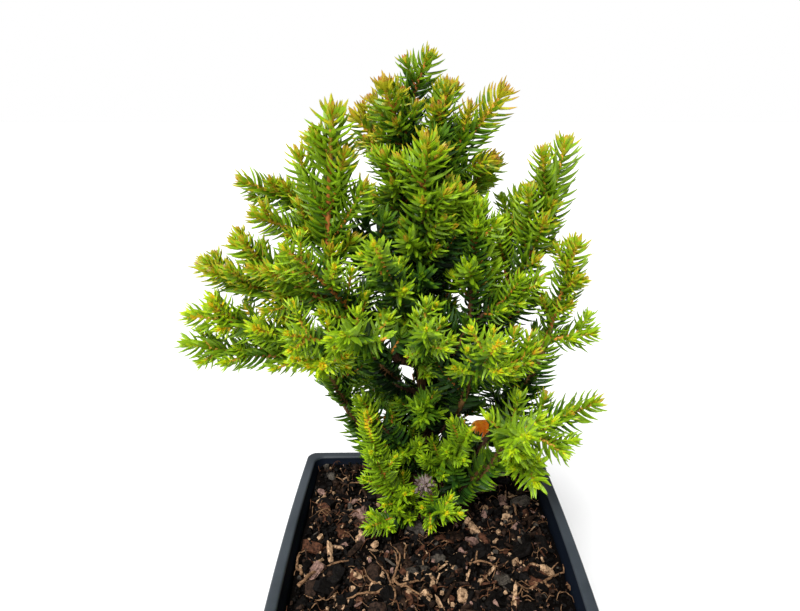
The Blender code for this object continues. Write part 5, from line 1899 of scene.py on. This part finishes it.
def needle_keeps(points, limbs):
    """True for each needle that stays out of the compost, the pot, the limbs and the lanes."""
    tips = points[:, -1]
    opening = inner_half(POT_HEIGHT) - INSIDE_AIR
    inside = np.maximum(np.abs(tips[:, 0]), np.abs(tips[:, 1])) < opening
    keep = tips[:, 2] > np.where(inside, SOIL_TOP + INSIDE_AIR, POT_HEIGHT + RIM_AIR)
    used = slice(0, limbs.count)
    second, third = 4, 8                # the first points of a needle's second and third ring
    for share in (second, third, -1):
        air = stick_gaps(points[:, share], limbs.start[used], limbs.end[used], limbs.radius[used])
        keep &= air > LIMB_AIR
    return keep & ~in_lane(points[:, third])


def shoots_by_region(shoots):
    """The shoots of each part of the crown."""
    regions = {}
    for shoot in shoots:
        regions.setdefault(shoot.look[0], []).append(shoot)
    return regions


def make_needles(shoots, limbs):
    """All needles, joined by region of the crown, each piece standing for its masses."""
    materials = [plain_finish(f"needle_{name}", colour, *NEEDLE_GLOSS) for name, colour in TINTS]
    for number, (region, members) in enumerate(shoots_by_region(shoots).items()):
        dice = np.random.default_rng(700 + number)
        rows = [clothe(shoot, dice) for shoot in members]
        tints = [tints_for(shoot.look, row[7], dice) for shoot, row in zip(members, rows)]
        columns = [np.concatenate(column) for column in list(zip(*rows))[:7]]
        points = needle_points(*columns, dice)
        keep = needle_keeps(points, limbs)
        points = points[keep]
        quads, thirds = needle_faces(len(points))
        tones = needle_tones(*(np.concatenate(part)[keep] for part in zip(*tints)))
        piece = new_piece(f"needles_{region}", points.reshape(-1, 3), quads, thirds, materials,
                          np.concatenate(tones))
        piece.data.set_sharp_from_angle(angle=math.radians(NEEDLE_SHARP))
        names = ["needles_" + row[0] for row in MASSES if row[8] == region]
        if names:
            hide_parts(*names)


TWIG_SKINS = (  # from old to young: name, colour, roughness and gloss
    ("twig_brown", (0.120, 0.050, 0.020), 0.6, 0.3),
    ("twig_rust", (0.460, 0.150, 0.028), 0.55, 0.35),
    ("twig_amber", (0.640, 0.240, 0.030), 0.5, 0.35),
    ("twig_straw", (0.620, 0.320, 0.035), 0.5, 0.35),
)
TWIG_POINTS = 10  # points round a twig
TWIG_RIDGES = (0.16, 5, 0.10)  # height and number of its ridges, and how they wind
TWIG_SLIMMING = 0.45
TWIG_YOUNG_REACH = 0.018  # how far from its tip a twig's skin looks young
TWIG_TIP_YOUTH = 0.55
TWIG_AIRY = 0.45  # how much younger it looks at the crown's surface
TWIG_STEPS = 4.4  # steps of age to a full youth of one


def make_twigs(shoots):
    """Every shoot's stem: a tube with five ridges that run down from its needles."""
    materials = [plain_finish(*skin) for skin in TWIG_SKINS]
    youngest = len(materials) - 1
    for region, members in shoots_by_region(shoots).items():
        joined = Joined()
        for shoot in members:
            share = np.linspace(0, 1, len(shoot.path))
            radii = shoot.radius * (1.0 - TWIG_SLIMMING * share)
            radii[-1] = SHOOT_TIP_RADIUS
            skin = closed_skin(tube_grid(shoot.path, radii, TWIG_POINTS, *TWIG_RIDGES))
            length = np.linalg.norm(np.diff(shoot.path, axis=0), axis=1).sum()
            tint_level = TWIG_TIP_YOUTH * nearness((1 - share[:-1]) * length, TWIG_YOUNG_REACH)
            tint_level = tint_level + TWIG_AIRY * outness(shoot.path[:-1])
            tone = np.clip((tint_level * TWIG_STEPS).astype(int), 0, youngest)
            ends = np.repeat((tone[0], youngest), TWIG_POINTS)
            joined.add(skin, np.repeat(tone, TWIG_POINTS), ends)
        twigs = joined.piece(f"twigs_{region}", materials)


# ---- floor, light and camera

FLOOR_HALF = 6.0  # half the floor's width
FLOOR_DROP = 0.0002  # the floor lies this far under the pot
SKY_LIGHT = 0.33  # how strongly the sky lights the plant
SKY_LEFT = 1.6  # its share from the left, and from the right
SKY_RIGHT = 0.4
OVERHEAD = ((-0.30, -0.80, 1.0), 24, 4.2)  # direction, softness in degrees and strength
WINDOW = ((-1.0, 0.10, 0.55), 60, 0.9)
LENS = 27.9  # focal length in millimetres
CAMERA_PLACE = (-0.00681, -0.16583, 0.22043)
LOOKING_DOWN = 18.40  # degrees below the level
TURNED_LEFT = 0.717


def make_stage():
    """A pale floor under a white sky."""
    corners = ((-1, -1), (1, -1), (1, 1), (-1, 1))
    points = [(x * FLOOR_HALF, y * FLOOR_HALF, 0) for x, y in corners]
    mesh = bpy.data.meshes.new("floor")
    mesh.from_pydata(points, [], [(0, 1, 2, 3)])
    floor = put_in_scene("floor", mesh)
    floor.location.z = -FLOOR_DROP
    mesh.materials.append(plain_finish("paper", (0.92, 0.92, 0.92), 0.9, 0.2))
    bpy.context.scene.world = white_sky()


def white_sky():
    """A sky that is white to look at, and lights the plant with less, most from the left."""
    world = bpy.data.worlds.new("studio")
    world.use_nodes = True
    tree = world.node_tree
    backdrop = tree.nodes["Background"]
    backdrop.inputs["Color"].default_value = (1.0, 1.0, 1.0, 1.0)
    sight = add_node(tree, "ShaderNodeLightPath").outputs["Is Camera Ray"]
    split = add_node(tree, "ShaderNodeSeparateXYZ")
    direction = add_node(tree, "ShaderNodeTexCoord").outputs["Generated"]
    tree.links.new(direction, split.inputs["Vector"])
    left, right = SKY_LIGHT * SKY_LEFT, SKY_LIGHT * SKY_RIGHT
    light = span_node(tree, split.outputs["X"], -0.5, 0.5, left, right)
    mixed = add_node(tree, "ShaderNodeMix")
    tree.links.new(sight, mixed.inputs["Factor"])
    tree.links.new(light, mixed.inputs["A"])
    mixed.inputs["B"].default_value = 1.0
    tree.links.new(mixed.outputs["Result"], backdrop.inputs["Strength"])
    return world


def add_sun(name, direction, softness, strength):
    """A broad far light from one direction."""
    light = bpy.data.lights.new(name, "SUN")
    light.angle = math.radians(softness)
    light.energy = strength
    turn = Vector(direction).to_track_quat("Z", "Y").to_euler()
    put_in_scene(name, light).rotation_euler = turn


def make_lights():
    """A soft light from above and in front, and a weaker, broader one from the left."""
    add_sun("overhead", *OVERHEAD)
    add_sun("window", *WINDOW)


def make_camera():
    """A camera a little above the crown, looking down over the pot's front edge."""
    camera = bpy.data.cameras.new("camera")
    camera.sensor_width = 36.0
    camera.lens = LENS
    camera.clip_start = 0.01
    item = put_in_scene("camera", camera)
    item.location = CAMERA_PLACE
    item.rotation_euler = (math.radians(90 - LOOKING_DOWN), 0.0, math.radians(TURNED_LEFT))
    bpy.context.scene.camera = item
    bpy.context.scene.view_settings.view_transform = "Standard"


# ---- the whole picture


def build():
    """Dress the plant and its pot."""
    make_stage()
    make_lights()
    make_camera()
    make_pot()
    make_compost()
    make_chips()
    make_dry_roots()
    make_dry_leaf()
    paths = {row[0]: bough_path(*row[1:]) for row in BOUGHS}
    limb_ends = {name: (path[-1], BOUGH_TIP_RADIUS) for name, path in paths.items()}
    limb_ends["trunk"] = (trunk_point(TRUNK_HEIGHT), TRUNK_TIP_RADIUS)
    bark = make_trunk()
    make_boughs(paths, bark)
    shoots = grow_shoots(paths, limb_ends)
    make_needles(shoots + limb_sleeves(paths), limb_room(paths))
    make_twigs(shoots)


build()
